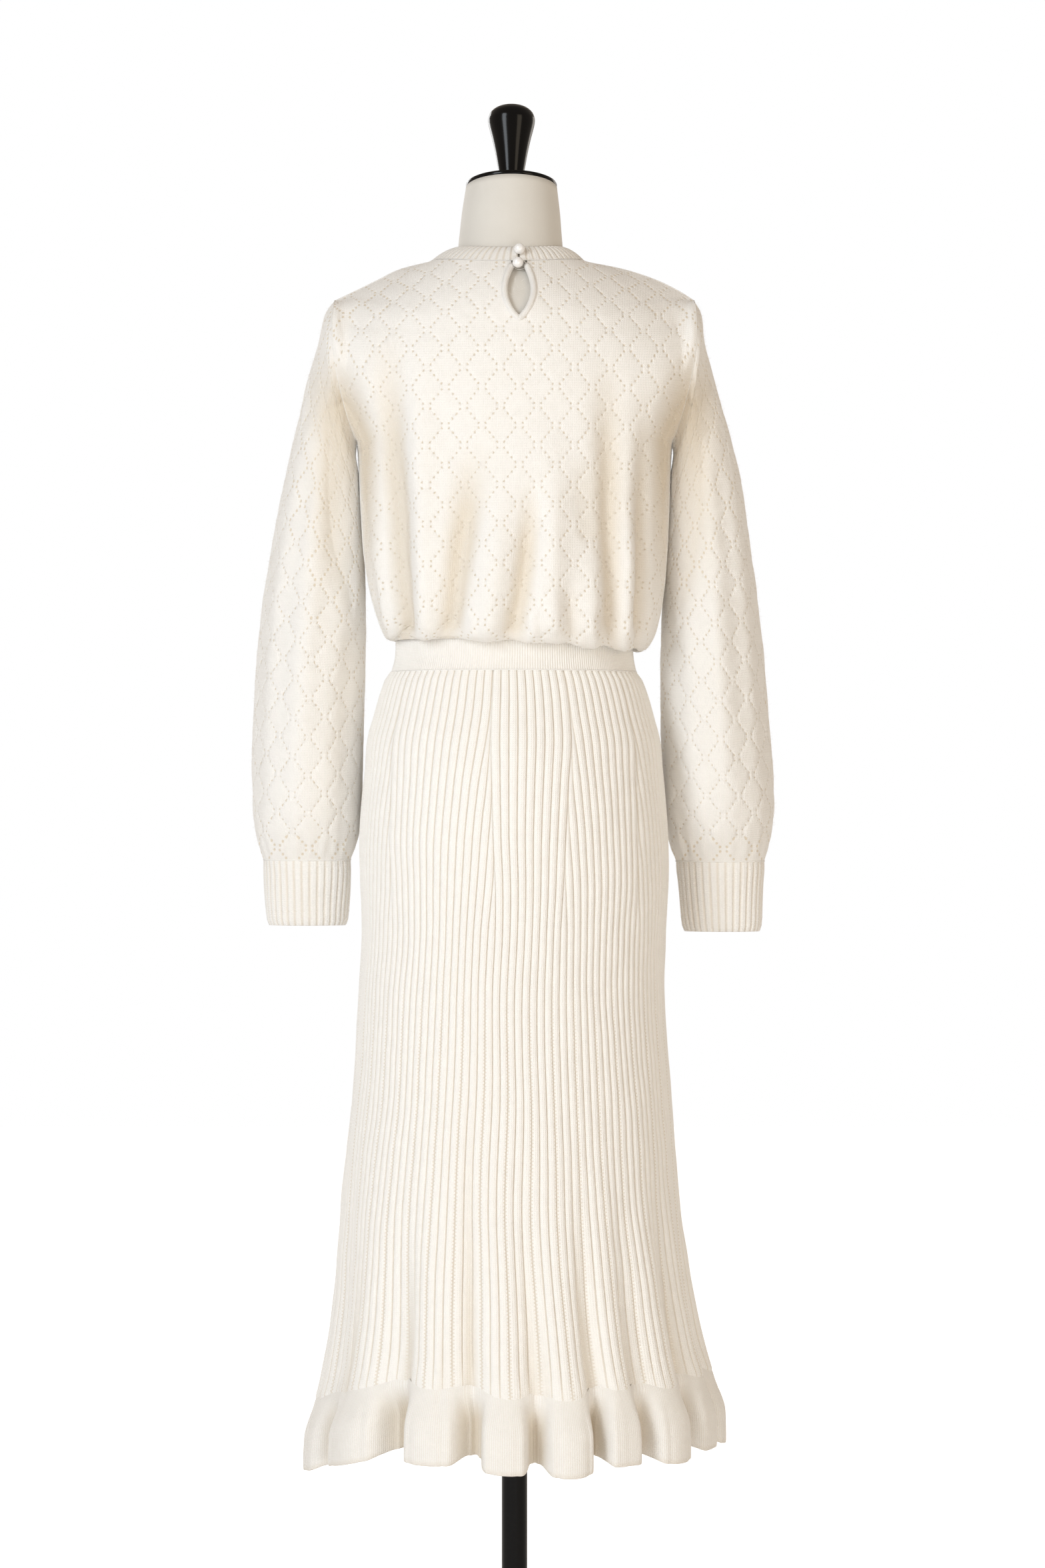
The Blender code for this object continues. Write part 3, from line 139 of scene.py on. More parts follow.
SLEEVE_RIGHT = np.array([
    (0.00, 174.5, 1361.0, 153.2, 1222.0, 48.0, -10.0, 8.0),
    (0.05, 181.6, 1348.0, 154.5, 1210.0, 51.0, -7.0, 6.0),
    (0.11, 185.6, 1320.0, 152.3, 1194.0, 53.0, -1.0, 4.0),
    (0.18, 194.0, 1288.0, 150.6, 1172.0, 54.0, 8.0, 2.0),
    (0.27, 206.0, 1250.0, 149.5, 1146.0, 55.0, 17.0, 0.0),
    (0.37, 219.0, 1204.0, 147.5, 1115.0, 56.0, 24.0, 0.0),
    (0.48, 228.5, 1150.0, 145.5, 1081.0, 58.0, 29.0, 0.0),
    (0.60, 238.0, 1084.0, 144.0, 1041.0, 60.0, 33.0, 0.0),
    (0.72, 246.0, 1012.0, 143.5, 994.0, 62.0, 36.0, 0.0),
    (0.83, 251.5, 942.0, 144.0, 938.0, 62.0, 38.0, 0.0),
    (0.91, 255.8, 886.0, 145.0, 886.0, 57.0, 38.0, 0.0),
    (0.955, 254.8, 855.0, 148.0, 855.0, 49.0, 38.0, 0.0),
    (0.985, 250.6, 832.0, 153.0, 832.0, 37.0, 38.0, 0.0),
    (1.00, 246.0, 815.8, 159.0, 815.8, 26.5, 38.0, 0.0),
])
# Cuffs: outer x, inner x and height of the top and of the lower edge, half depth of both, middle y
CUFF_LEFT = ((246.5, 161.0, 817.3), (242.0, 164.5, 753.5), (26.5, 22.0), 26.0)
CUFF_RIGHT = ((246.0, 159.0, 815.8), (241.5, 167.0, 747.0), (26.5, 21.5), 38.0)
CUFF_RIBS = 34
CUFF_VALLEY = 1.9
CUFF_EDGE = (2.4, (3.0, 8.0, 14.0))  # thickness at the edge, and how far up the turned-in rows lie

# Waistband and skirt: height, half width left and right, depth of the back and of the front
WAISTBAND_LEVELS = np.array([
    (1000.0, 120.0, 118.5, 88.6, 89.4),
    (1012.0, 116.8, 116.2, 86.2, 86.8),
    (1029.5, 115.6, 115.2, 85.4, 86.0),
])

SKIRT_LEVELS = np.array([
    (290, 190.5, 198.0, 177.0, 175.0),
    (330, 182.0, 185.5, 170.0, 167.0),
    (382, 174.5, 173.5, 162.0, 159.0),
    (434, 171.0, 166.0, 154.0, 151.0),
    (486, 168.0, 160.0, 146.0, 142.0),
    (538, 163.5, 156.5, 139.0, 135.0),
    (590, 158.0, 153.0, 131.0, 127.0),
    (642, 154.5, 149.0, 125.0, 121.0),
    (694, 152.0, 146.5, 121.0, 116.0),
    (746, 149.0, 147.5, 120.0, 112.0),
    (798, 150.5, 150.5, 124.0, 109.0),
    (837, 151.5, 150.0, 126.0, 107.0),
    (864, 150.0, 148.5, 126.0, 105.0),
    (902, 146.5, 145.0, 123.0, 103.0),
    (938, 143.0, 141.5, 115.0, 100.0),
    (954, 138.5, 137.0, 109.0, 98.0),
    (980, 131.0, 129.5, 99.0, 95.0),
    (992, 127.0, 125.0, 94.0, 92.5),
    (999.7, 123.5, 121.0, 91.5, 91.5),
])
WAISTBAND_REACH = (1000.0, 1031.0)  # its lowest and highest height
SKIRT_TOP = 999.7
SKIRT_FOOT = 290.0  # where the long creases start
WAIST_RIBS = 88
RIB_COLUMNS = 8  # of the mesh, to each rib of the cuffs and the neckband
FINE_RIB_COLUMNS = 4
NECKBAND_RIBS = 66
WAISTBAND_RIBS = 300
SIDE_RIB = 22.5  # rib number at the side seams
# Where new ribs grow from: rib number at the centre of the line, side on which they grow
SHAPING_LINES = (
    (-40.5, -1), (-29.5, -1), (-14.5, -1), (-2.5, -1), (6.5, 1), (14.5, 1), (29.5, 1), (40.5, 1),
)
NEW_RIB_HEIGHTS = (824.0, 885.0, 940.0, 972.0)
NEW_RIB_RUN = 95.0  # height over which a new rib grows to its full width
NEW_RIB_LEAST = 0.02  # its width where it starts, as a share of a full one
# Waves of the flounce: angle of the crest, angle of the trough after it, size
FLOUNCE_WAVES = (
    (-80, -70, 0.6), (-54, -37, 1.1), (-25, -12.7, 1.0), (-3, 5.6, 0.9), (15.2, 24.7, 1.1),
    (31.5, 39.5, 0.8), (50, 60, 1.0), (70, 77, 0.8), (86, 97, 1.0), (107, 118, 0.9),
    (127, 137, 1.1), (146, 155, 0.9), (165, 176, 1.0), (186, 196, 1.0), (206, 217, 0.9),
    (227, 238, 1.1), (249, 259, 0.9), (271, 279, 0.8),
)
WAVE_START = 620.0  # height below which the skirt begins to wave
SEAM_WAVE = 5.5  # how far the waves stand out and in at the flounce seam
HEM_WAVE = 12.5  # how far a crest stands out at the hem
# Mean height of the hem: angle, height
HEM_LINE = np.array([
    (-90, 228), (-70, 239), (-47, 259), (-21, 263), (-4, 257), (14, 254), (30, 260), (49, 257),
    (68, 260), (90, 257), (120, 254), (150, 250), (180, 248), (210, 246), (240, 240), (270, 228),
])
FLOUNCE_HEIGHT = 65.0
FINE_RIB = 2.1  # width of a rib of the flounce
FLOUNCE_LEAN = 0.018  # how far crests lean over troughs, in radians
TROUGH_WAVE = 22.0  # how far a trough goes in there
SEAM_HEIGHT = 300.0  # about where skirt and flounce meet
LOBE_DROP = 5.0  # how much lower the hem hangs on a crest than midway
HEM_FLARE = 6.0  # how far the hem stands out past the seam
FLOUNCE_BELLY = 2.0
FLOUNCE_EDGE = (1.9, (3.0, 9.0))

# Dress form: height, middle x, half width, depth of the back and of the front
FORM_LEVELS = np.array([
    (725, 0.0, 136.0, 108.0, 84.0),
    (760, 0.0, 142.0, 114.0, 90.0),
    (800, 0.0, 143.0, 117.0, 93.0),
    (860, 0.0, 141.0, 118.0, 94.0),
    (920, 0.0, 131.0, 106.0, 90.0),
    (965, -0.5, 119.0, 90.0, 84.0),
    (995, -0.2, 112.2, 82.4, 83.0),
    (1030, -0.2, 111.8, 81.9, 82.5),
    (1080, 0.0, 118.0, 88.0, 96.0),
    (1150, 0.0, 130.0, 98.0, 114.0),
    (1220, 0.0, 141.0, 103.0, 118.0),
    (1265, 0.0, 150.0, 101.0, 110.0),
])
# Form under the yoke and the neckband: share of their length, how far below the cloth
FORM_YOKE = ((0.0, 5.6), (0.12, 4.6), (0.24, 3.8), (0.36, 3.2), (0.57, 3.2), (0.79, 3.5), (0.97, 4.7))
FORM_KEYHOLE_ROOM = 1.4
FORM_NECK_BASE = ((0.3, 4.4), (0.65, 3.8), (1.0, 3.6))
FORM_SIDE_ANGLE = 75.0
FORM_EDGE = 0.94
# Neck of the form: height, middle x, radius, middle y
NECK_LEVELS = ((1424, -3.9, 50.2, 5.0), (1448, -3.5, 48.0, 8.0), (1473.5, -3.0, 44.6, 11.0))
NECK_TILT = math.radians(9.4)
CAP_RADIUS = 44.4
CAP_HEIGHT = 4.6
SEAM_GAP = 0.3  # between neighbouring pieces of the stand
# Turned pieces: radius, height
COLLAR_PROFILE = ((16.2, 0.0), (16.2, 1.2), (15.2, 4.2), (12.6, 6.6), (9.0, 7.6), (0.0, 7.6))
FINIAL_PROFILE = (
    (11.8, 0.0), (13.2, 8.0), (16.0, 24.0), (19.0, 38.0), (21.8, 49.0), (22.9, 55.0),
    (22.7, 59.0), (20.6, 64.0), (15.6, 68.2), (8.4, 70.6), (0.0, 71.3),
)
POLE_RADIUS = 12.5
FOOT_PROFILE = (
    (0.0, 0.0), (190.0, 0.0), (192.0, 3.0), (191.0, 8.0), (186.0, 11.0), (150.0, 13.2), (80.0, 14.4),
    (34.0, 14.9), (30.0, 15.0), (0.0, 15.0),
)
PEARL_RADIUS = 5.2
PEARL_STANDOFF = 1.1
# Pearls: node, x, height
PEARLS = (("button_upper", 4.8, 1404.0), ("button_lower", 3.4, 1389.6))

# ---------------------------------------------------------------- folds and stitches

# Soft folds of the back of the bodice: place across at the bottom and at the top, height of the
# bottom and of the top, half width, depth (negative stands out)
BACK_FOLDS = (
    (-66, -34, 1026, 1225, 11.0, 12.5),
    (-117, -124, 1018, 1350, 13.0, 11.5),
    (-90, -92, 1030, 1330, 11.0, -7.0),
    (-142, -152, 1036, 1240, 9.0, -5.0),
    (0, 26, 1026, 1200, 9.0, 10.5),
    (-26, -10, 1030, 1180, 11.0, -5.5),
    (38, 32, 1030, 1240, 12.0, -6.0),
    (56, 50, 1028, 1092, 7.0, 4.0),
    (78, 72, 1032, 1130, 9.0, -4.0),
    (101, 88, 1026, 1320, 10.5, 10.5),
    (72, 66, 1120, 1215, 11.0, 3.0),
    (118, 114, 1030, 1180, 8.0, -3.4),
    (137, 128, 1030, 1285, 9.0, 8.5),
    (-8, -4, 1030, 1070, 6.0, 2.6),
    (-40, -42, 1030, 1062, 5.0, -2.4),
    (18, 14, 1030, 1066, 5.0, -2.4),
    (86, 84, 1030, 1064, 5.0, 2.4),
    (-120, -118, 1030, 1070, 6.0, 2.6),
)
# Rise of the blouse's lower edge: place across, back, front
BLOUSE_EDGE = np.array([
    (-150, 0.0, 0.0), (-128, 1.6, 1.5), (-108, 1.2, -1.0), (-92, -0.2, 2.0), (-76, 0.6, -1.6),
    (-58, 1.4, 1.4), (-30, 0.0, -1.2), (-6, 1.2, 1.6), (12, -0.4, -0.8), (34, 1.4, 1.8),
    (52, 1.8, -1.6), (66, -2.4, 0.6), (80, -1.8, 1.8), (90, 1.8, -1.2), (104, -2.6, 1.0),
    (120, -1.6, -1.4), (132, 0.8, 1.6), (150, 0.0, 0.0),
])
# Troughs where the sleeves meet the body: depth, half widths toward the body and toward the sleeve,
# top, deepest and lowest height
ARMPIT_TROUGH = (31.0, 18.0, 30.0, 1318.0, 1222.0, 1040.0)
FRONT_FOLDS = (
    (-118, -104, 1030, 1240, 12.0, 6.5),
    (-84, -88, 1032, 1200, 12.0, -4.4),
    (-52, -60, 1030, 1140, 9.0, 6.0),
    (-18, -12, 1034, 1118, 10.0, -3.6),
    (10, 2, 1030, 1124, 8.0, 5.0),
    (34, 38, 1030, 1080, 6.0, -3.0),
    (54, 60, 1030, 1170, 10.0, 6.0),
    (86, 92, 1034, 1190, 12.0, -4.0),
    (124, 116, 1030, 1240, 12.0, 6.0),
    (-36, -36, 1030, 1070, 5.0, 2.4),
    (74, 74, 1030, 1066, 5.0, 2.4),
    (-98, -98, 1030, 1066, 5.0, -2.4),
)
# Folds of a sleeve: angle round the section at its ends, share of the length where it starts and
# ends, half width in degrees, depth; 0 is the outer side, 90 the back
SLEEVE_FOLDS = (
    (20, 35, 0.45, 1.05, 14, 2.8),
    (62, 60, 0.30, 1.05, 13, 3.4),
    (88, 84, 0.55, 1.05, 11, -2.6),
    (112, 105, 0.20, 0.80, 16, 3.0),
    (140, 132, 0.60, 1.05, 13, 3.0),
    (205, 200, 0.50, 1.05, 14, 3.0),
    (240, 250, 0.35, 1.05, 15, 3.2),
    (275, 280, 0.55, 1.05, 13, -2.4),
    (310, 300, 0.50, 1.05, 14, 3.0),
)
# Long creases of the skirt: angle at the hem and where they end, height where they end, half
# width in degrees, depth
SKIRT_CREASES = (
    (-13.5, -14.5, 640, 1.6, 4.2),
    (-36.0, -34, 480, 1.9, 4.4),
    (5.8, 4.5, 470, 1.5, 3.4),
    (23.5, 22, 520, 1.8, 4.2),
    (9.0, 8.0, 430, 1.2, 2.4),
    (-22.0, -21.0, 400, 1.3, 2.0),
    (38.0, 36, 440, 2.0, 3.2),
    (-60.0, -56, 480, 2.6, 3.4),
    (61.0, 57, 500, 2.4, 3.6),
    (96.0, 94, 520, 2.2, 3.6),
    (118.0, 116, 460, 2.0, 3.4),
    (137.0, 138, 560, 2.0, 3.8),
    (155.0, 156, 450, 1.8, 3.2),
    (176.0, 175, 540, 1.8, 3.8),
    (196.0, 197, 460, 1.8, 3.2),
    (217.0, 216, 560, 2.0, 3.6),
    (238.0, 240, 470, 2.2, 3.4),
    (259.0, 257, 520, 2.2, 3.6),
)

UNEVENNESS = 0.8  # of hand-made cloth
FOLD_PAINTED_SHADE_DEPTH = 9.0  # depth at which a soft fold gets its full painted shade
TROUGH_PAINTED_SHADE_DEPTH = 14.0  # the same for the painted shade of the armpit trough
BODICE_LATTICE = (35.2, 37.2)  # width and height of the diamonds
SLEEVE_LATTICE = (33.0, 37.6)
LATTICE_POINT = {-1: 4.8, 1: -3.0}  # x of a diamond's point at LATTICE_HEIGHT, back and front
LATTICE_HEIGHT = 1304.5
SLEEVE_POINT = (3.0, 14.0)  # the same on a sleeve: outwards from its back line, up from the cuff
LATTICE_RELIEF = 0.2
LACE_EYELETS = 4  # along each side of a diamond
EYELET_ASIDE = 0.2  # step between them and start, as a share of half the diamond's width
EYELET_RISE = (0.24, 0.1)  # step and start upwards, as shares of half its height
EYELET_RADIUS = 1.05
EYELET_DIMPLE = 0.14
EYELET_DEPTH = 1.1
EYELET_BLUR = (0.85, 1.95)
EYELET_REACH = 1.3  # how far an eyelet may lie from the nearest point of the mesh
SLANTED_MESH = 0.8  # below this share of a square, an eyelet has no rim
MESH_STEPS = (1.4, 4.6)  # nor where two steps of the mesh are shorter or longer than this
AROUND = ((-1, -1), (-1, 0), (-1, 1), (0, -1), (0, 1), (1, -1), (1, 0), (1, 1))  # neighbours of a point
EYELET_STEP = 3.3  # the skirt's tiny eyelets, up the cloth
DOTS_END = 440.0
DOTS_FADE = 90.0
HALO_FIBRES = 22000
FIBRE_LENGTH = (3.0, 8.0)
FIBRE_LIFT = (0.8, 3.6)
FIBRE_BEND = (-1.5, 1.5)
FIBRE_RIBBON = ((0.0, 0.06), (0.5, 0.05), (1.0, 0.025))  # share of its length, half width
SKIRT_VALLEY = 2.5
DOTTED_VALLEY = 0.75  # depth of each third valley near the hem, as a share of a full one
WAIST_TUCK = 2.2
SEAM_TUCK = 1.3  # how far the skirt's lower edge goes in behind the flounce
RIB_PHASES = (0.0, 0.06, 0.15, 0.34, 0.66, 0.85, 0.94)

# Points across and along each sheet
BACK_MESH = (279, 264)
FRONT_MESH = (217, 210)
SLEEVE_MESH = (167, 384)
BACK_SKIRT_ROWS = 74
FRONT_SKIRT_ROWS = 56
SKIRT_FINE_SHARE = 0.45  # of the skirt's length has these rows, the rest three quarters as many
FLOUNCE_COLUMNS = 1200
FLOUNCE_RIB_ROW = 14  # of the mesh, on which the flounce's ribs are spaced evenly

# ---------------------------------------------------------------- colours, lamps and view

CREAM = (0.895, 0.872, 0.832)
PAINTED_SHADE_STRENGTH = 0.72  # how far painted shade turns the cloth to the warm tone in its deepest folds
PAINTED_SHADE_COLOUR = (0.74, 0.655, 0.53)  # painted shade: the warm tone painted deep between ribs, inside eyelets and in folds
FLOOR_GLOW = 0.8  # brightness that the camera alone sees
SURROUND_LIGHT = (1.0, 0.872, 0.745)
SURROUND_POWER = 0.42
# Lamps, in metres: name, place, aim, width and height, power, colour
LAMPS = (
    ("cool_left", (-2.2, -3.0, 2.0), (0.0, 0.0, 0.85), (1.2, 2.4), 77.0, (0.86, 0.93, 1.0)),
    ("warm_right", (2.4, -2.8, 1.4), (0.0, 0.0, 0.85), (1.4, 2.4), 22.0, (1.0, 0.86, 0.67)),
    ("cool_low", (0.7, -3.4, 0.3), (0.05, 0.0, 0.5), (1.4, 0.5), 15.0, (0.94, 0.97, 1.0)),
    ("behind_left", (-1.9, 3.2, 1.8), (0.0, 0.0, 0.85), (1.4, 2.4), 40.0, (0.97, 0.985, 1.0)),
    ("behind_right", (2.4, 3.0, 1.4), (0.0, 0.0, 0.8), (1.4, 2.4), 20.0, (1.0, 0.95, 0.88)),
)
CAMERA_PLACE = (0.0078, -3.6, 0.8914)
CAMERA_LENS = 84.8
CAMERA_SENSOR = 36.0


def level(table, column, at):
    """One column of a table at any place along its first column, smooth between the rows."""
    places = table[:, 0]
    values = table[:, column]
    slopes = np.gradient(values, places)
    at = np.clip(at, places[0], places[-1])
    below = np.clip(np.searchsorted(places, at) - 1, 0, len(places) - 2)
    run = places[below + 1] - places[below]
    share = (at - places[below]) / run
    rise = 3 * share**2 - 2 * share**3
    leave = share**3 - 2 * share**2 + share
    arrive = share**3 - share**2
    return (
        values[below] * (1 - rise)
        + values[below + 1] * rise
        + run * (slopes[below] * leave + slopes[below + 1] * arrive)
    )


def ease(value):
    """0 below 0, 1 above 1 and smooth between."""
    share = np.clip(value, 0.0, 1.0)
    return share * share * (3 - 2 * share)


def stacked(x, y, z):
    """Points from three arrays of one shape."""
    return np.stack(np.broadcast_arrays(x, y, z), axis=-1)


def oval(angle, left, right, back, front):
    """x and y of a round-the-body section with its own half widths and depths."""
    middle = (right - left) / 2
    half = (right + left) / 2
    depth = np.where(np.cos(angle) >= 0, back, front)
    return middle + half * np.sin(angle), -depth * np.cos(angle)


def sizes_at(table, at):
    """Half widths and depths of a section at a height, for oval()."""
    return [level(table, column, at) for column in (1, 2, 3, 4)]


def turned_away(degrees, angle):
    """How far degrees lie from an angle, the short way round."""
    return (degrees - angle + 180) % 360 - 180


def uneven(across, along, seed):
    """Gentle hand-made unevenness, between -1 and 1, from a few crossed waves."""
    total = 0.0
    for order, (width, height) in enumerate(((47.0, 83.0), (29.0, 61.0), (71.0, 37.0), (19.0, 27.0))):
        turn = seed * 1.7 + order * 2.1
        sideways = np.sin(across / width * math.pi + turn + 0.8 * np.sin(along / height + seed))
        total = total + sideways * np.sin(along / height * math.pi + 2.3 * turn)
    return total / 4.0


# ---------------------------------------------------------------- forms of the cloth


def armhole(angle, side):
    """Point of the armhole seam, its angle from the shoulder point, side -1 back or 1 front."""
    turn = np.radians(angle)
    top, bottom = np.array(ARMHOLE_TOP), np.array(ARMHOLE_BOTTOM)
    middle, reach = (top + bottom) / 2, (top - bottom) / 2
    x = middle[0] + reach[0] * np.cos(turn) + ARMHOLE_BOW * np.sin(turn) ** 2
    z = middle[1] + reach[1] * np.cos(turn)
    y = ARMHOLE_Y + side * ARMHOLE_DEPTH * np.sin(turn)
    return x, y, z


def armhole_at(height, side):
    """x and y of the armhole seam at a height; its end where the height is past it."""
    reach = (ARMHOLE_TOP[1] - ARMHOLE_BOTTOM[1]) / 2
    share = np.clip((height - ARMHOLE_BOTTOM[1] - reach) / reach, -1.0, 1.0)
    return armhole(np.degrees(np.arccos(share)), side)[:2]


def neck_ring(ring, angle):
    """Points of an oval round the neck."""
    middle_x, middle_y, half, back, front, height, back_drop, front_drop = ring
    toward = np.cos(angle)
    depth = np.where(toward >= 0, back, front)
    drop = np.where(toward >= 0, back_drop, front_drop)
    return stacked(
        middle_x + half * np.sin(angle), middle_y - depth * toward, height - drop * toward**2,
    )


def body_level(across, up, side):
    """A bodice section below the yoke: across is -1 to 1, up the length from the waist seam."""
    height = level(BODICE_LEVELS, 1, up)
    left, right = level(BODICE_LEVELS, 2, up), level(BODICE_LEVELS, 3, up)
    depth = level(BODICE_LEVELS, 4 if side < 0 else 5, up)
    bottom = ARMHOLE_BOTTOM[1]
    edge_x, edge_y = armhole_at(height, side)
    above = ease((height - bottom) / 6.0)
    side_y = level(SIDE_SEAM_Y, 1, height)
    edge_y = side_y + (edge_y - side_y) * above
    full = ease((height - FULLNESS_END) / (bottom - FULLNESS_END))
    square_y = side * np.maximum(side * edge_y, side * ARMHOLE_Y + UNDERARM_FULLNESS * full)
    half = np.where(across < 0, left, right)
    half = half + (edge_x - half) * above
    turn = np.radians(90.0 - 24.0 * ease((height - bottom) / 70.0))
    x = half * np.sin(across * turn) / np.sin(turn)
    bend = (np.cos(across * turn) - np.cos(turn)) / (1 - np.cos(turn))
    y = square_y + (side * depth - square_y) * bend
    y = y + (edge_y - square_y) * ease((np.abs(across) - 0.8) / 0.2)
    blouse = ease((60.0 - up) / 60.0) * ease(up / 8.0)
    height = height - BLOUSE_TILT * np.sin(across * math.pi / 2) * blouse
    return stacked(x, y, height)


def yoke_edge(share, sign, side):
    """Edge of a panel above the yoke level: round the armhole, then along the shoulder."""
    bend = SHOULDER_LINE[0, 0]
    x, y, z = armhole(YOKE_ANGLE * (1 - np.clip(share / bend, 0.0, 1.0)), side)
    ridge_x = level(SHOULDER_LINE, 1 if sign < 0 else 2, share)
    ridge_z = level(SHOULDER_LINE, 3, share)
    past = share > bend
    x = np.where(past, ridge_x, x)
    z = np.where(past, ridge_z, z)
    y = np.where(past, ARMHOLE_Y + (SHOULDER_Y - ARMHOLE_Y) * (share - bend) / (1 - bend), y)
    return stacked(sign * x, y, z)


def bodice_form(across, up, side):
    """The plain form of a bodice panel, its bend at the start of the yoke rounded."""
    across, up = np.broadcast_arrays(np.asarray(across, float), np.asarray(up, float))
    reach = YOKE_ROUNDING * ease(1.3 - np.abs(up - YOKE_LENGTH) / 42.0) * ease((1 - np.abs(across)) / 0.12)
    total = 0.0
    for step, weight in ((-1.0, 0.15), (-0.5, 0.22), (0.0, 0.26), (0.5, 0.22), (1.0, 0.15)):
        total = total + weight * panel_form(across, up + step * reach, side)
    return total


def panel_form(across, up, side):
    """A bodice panel before rounding, side -1 for the back and 1 for the front."""
    across, up = np.broadcast_arrays(np.asarray(across, float), np.asarray(up, float))
    share = np.clip((up - YOKE_LENGTH) / YOKE_RUN, 0.0, 1.2)
    start = np.full(np.shape(share), YOKE_LENGTH)
    low = body_level(across, start, side)
    turn = across * math.pi / 2 if side < 0 else math.pi - across * math.pi / 2
    flat = low + (neck_ring(NECK_SEAM, turn) - low) * share[..., None]
    for sign in (-1, 1):
        edge = yoke_edge(share, sign, side)
        corner_low = body_level(np.full(np.shape(share), float(sign)), start, side)
        corner_high = neck_ring(NECK_SEAM, sign * math.pi / 2 + 0 * share)
        straight = corner_low + (corner_high - corner_low) * share[..., None]
        weight = np.clip(across * sign, 0.0, 1.0) ** 3
        flat = flat + (edge - straight) * weight[..., None]
    swell = (YOKE_SWELL_BACK if side < 0 else YOKE_SWELL_FRONT) * 4 * share * (1 - share)
    flat[..., 1] += side * swell * np.cos(across * math.pi / 2)
    return np.where((up > YOKE_LENGTH)[..., None], flat, body_level(across, up, side))


def neck_angle(x):
    """Angle at which the back of the neck seam passes an x."""
    return math.asin((x - NECK_SEAM[0]) / NECK_SEAM[2])


def neckband_form(angle, share):
    """The neckband between the neck seam and its top edge, a little rounded."""
    low = neck_ring(NECK_SEAM, angle)
    high = neck_ring(NECKBAND_TOP, angle)
    share = np.asarray(share)[..., None]
    points = low + (high - low) * share
    points[..., 2] += NECKBAND_SWELL * 4 * share[..., 0] * (1 - share[..., 0])
    return points


def sleeve_form(table, mirror, angle, share):
    """The plain form of a sleeve: angle from its outer side round the back, share of its length."""
    outer_x, outer_z = level(table, 1, share), level(table, 2, share)
    inner_x, inner_z = level(table, 3, share), level(table, 4, share)
    depth, middle_y, bow = level(table, 5, share), level(table, 6, share), level(table, 7, share)
    inward = 0.0
    degrees = np.degrees(angle)
    for low_angle, high_angle, low, high, width, deep in SLEEVE_FOLDS:
        run = np.clip((share - low) / (high - low), 0.0, 1.0)
        away = turned_away(degrees, low_angle + (high_angle - low_angle) * run)
        along = ease(run / 0.18 + 0.25) * ease((1 - run) / 0.5)
        inward = inward + deep * along * np.exp(-((away / width) ** 2))
    inward = inward * ease(share / 0.1) * ease((1.0 - share) / 0.03)
    half = np.hypot(outer_x - inner_x, outer_z - inner_z) / 2
    shrink = 1 - inward / np.maximum(half, depth)
    across, round_it = np.cos(angle), np.sin(angle)
    x = (outer_x + inner_x) / 2 + (outer_x - inner_x) / 2 * across * shrink + bow * round_it**2
    z = (outer_z + inner_z) / 2 + (outer_z - inner_z) / 2 * across * shrink
    y = middle_y - depth * round_it * shrink
    return stacked(mirror * x, y, z)


def skirt_ribs():
    """Rib numbers in order round the skirt and the height at which each one starts."""
    first = -float(int(SIDE_RIB))
    numbers = [(first + index, float("inf")) for index in range(WAIST_RIBS)]
    for line, side in SHAPING_LINES:
        for order, height in enumerate(NEW_RIB_HEIGHTS):
            place = line + side * (order + 1) * 0.01
            if place < first - 0.5:
                place += WAIST_RIBS
            numbers.append((place, height))
    numbers.sort()
    return numbers


def wave(degrees):
    """Height of the flounce waves, -1 in a narrow trough and 1 on a broad crest."""
    marks, phases, shares = [], [], []
    for turn in (-1, 0, 1):
        for order, (crest, trough, share) in enumerate(FLOUNCE_WAVES):
            base = order + turn * len(FLOUNCE_WAVES)
            marks += [crest + 360 * turn, trough + 360 * turn]
            phases += [base, base + 0.5]
            shares += [share, share]
    at = (np.asarray(degrees) + 90.0) % 360.0 - 90.0
    phase = np.interp(at, marks, phases)
    dip = (1 - np.cos(2 * math.pi * phase)) / 2
    return np.interp(at, marks, shares) * (1 - 2 * dip**1.6), phase


def hem_height(angle):
    """Height of the hem between a crest and a trough of its waves."""
    degrees = (np.degrees(angle) + 90.0) % 360.0 - 90.0
    return level(HEM_LINE, 1, degrees)


def seam_height(angle):
    """Height of the seam between skirt and flounce."""
    return hem_height(angle) + FLOUNCE_HEIGHT - LOBE_DROP * 0.5 * wave(np.degrees(angle))[0]


def skirt_form(angle, share):
    """The skirt's cloth on its rib crests; share is 0 at the flounce seam and 1 at the waist."""
    low = seam_height(angle)
    height = low + (SKIRT_TOP - low) * share
    swing = SEAM_WAVE * (1 - ease((height - SEAM_HEIGHT) / (WAVE_START - SEAM_HEIGHT))) ** 1.5
    swing = swing * wave(np.degrees(angle))[0]
    x, y = oval(angle, *[size + swing for size in sizes_at(SKIRT_LEVELS, height)])
    return stacked(x, y, height)


def rib_weight(start, height):
    """Width of a rib as a share of a full one; a new rib grows below the height where it starts."""
    if start == float("inf"):
        return 1.0
    return NEW_RIB_LEAST + (1 - NEW_RIB_LEAST) * float(ease((start - height) / NEW_RIB_RUN))


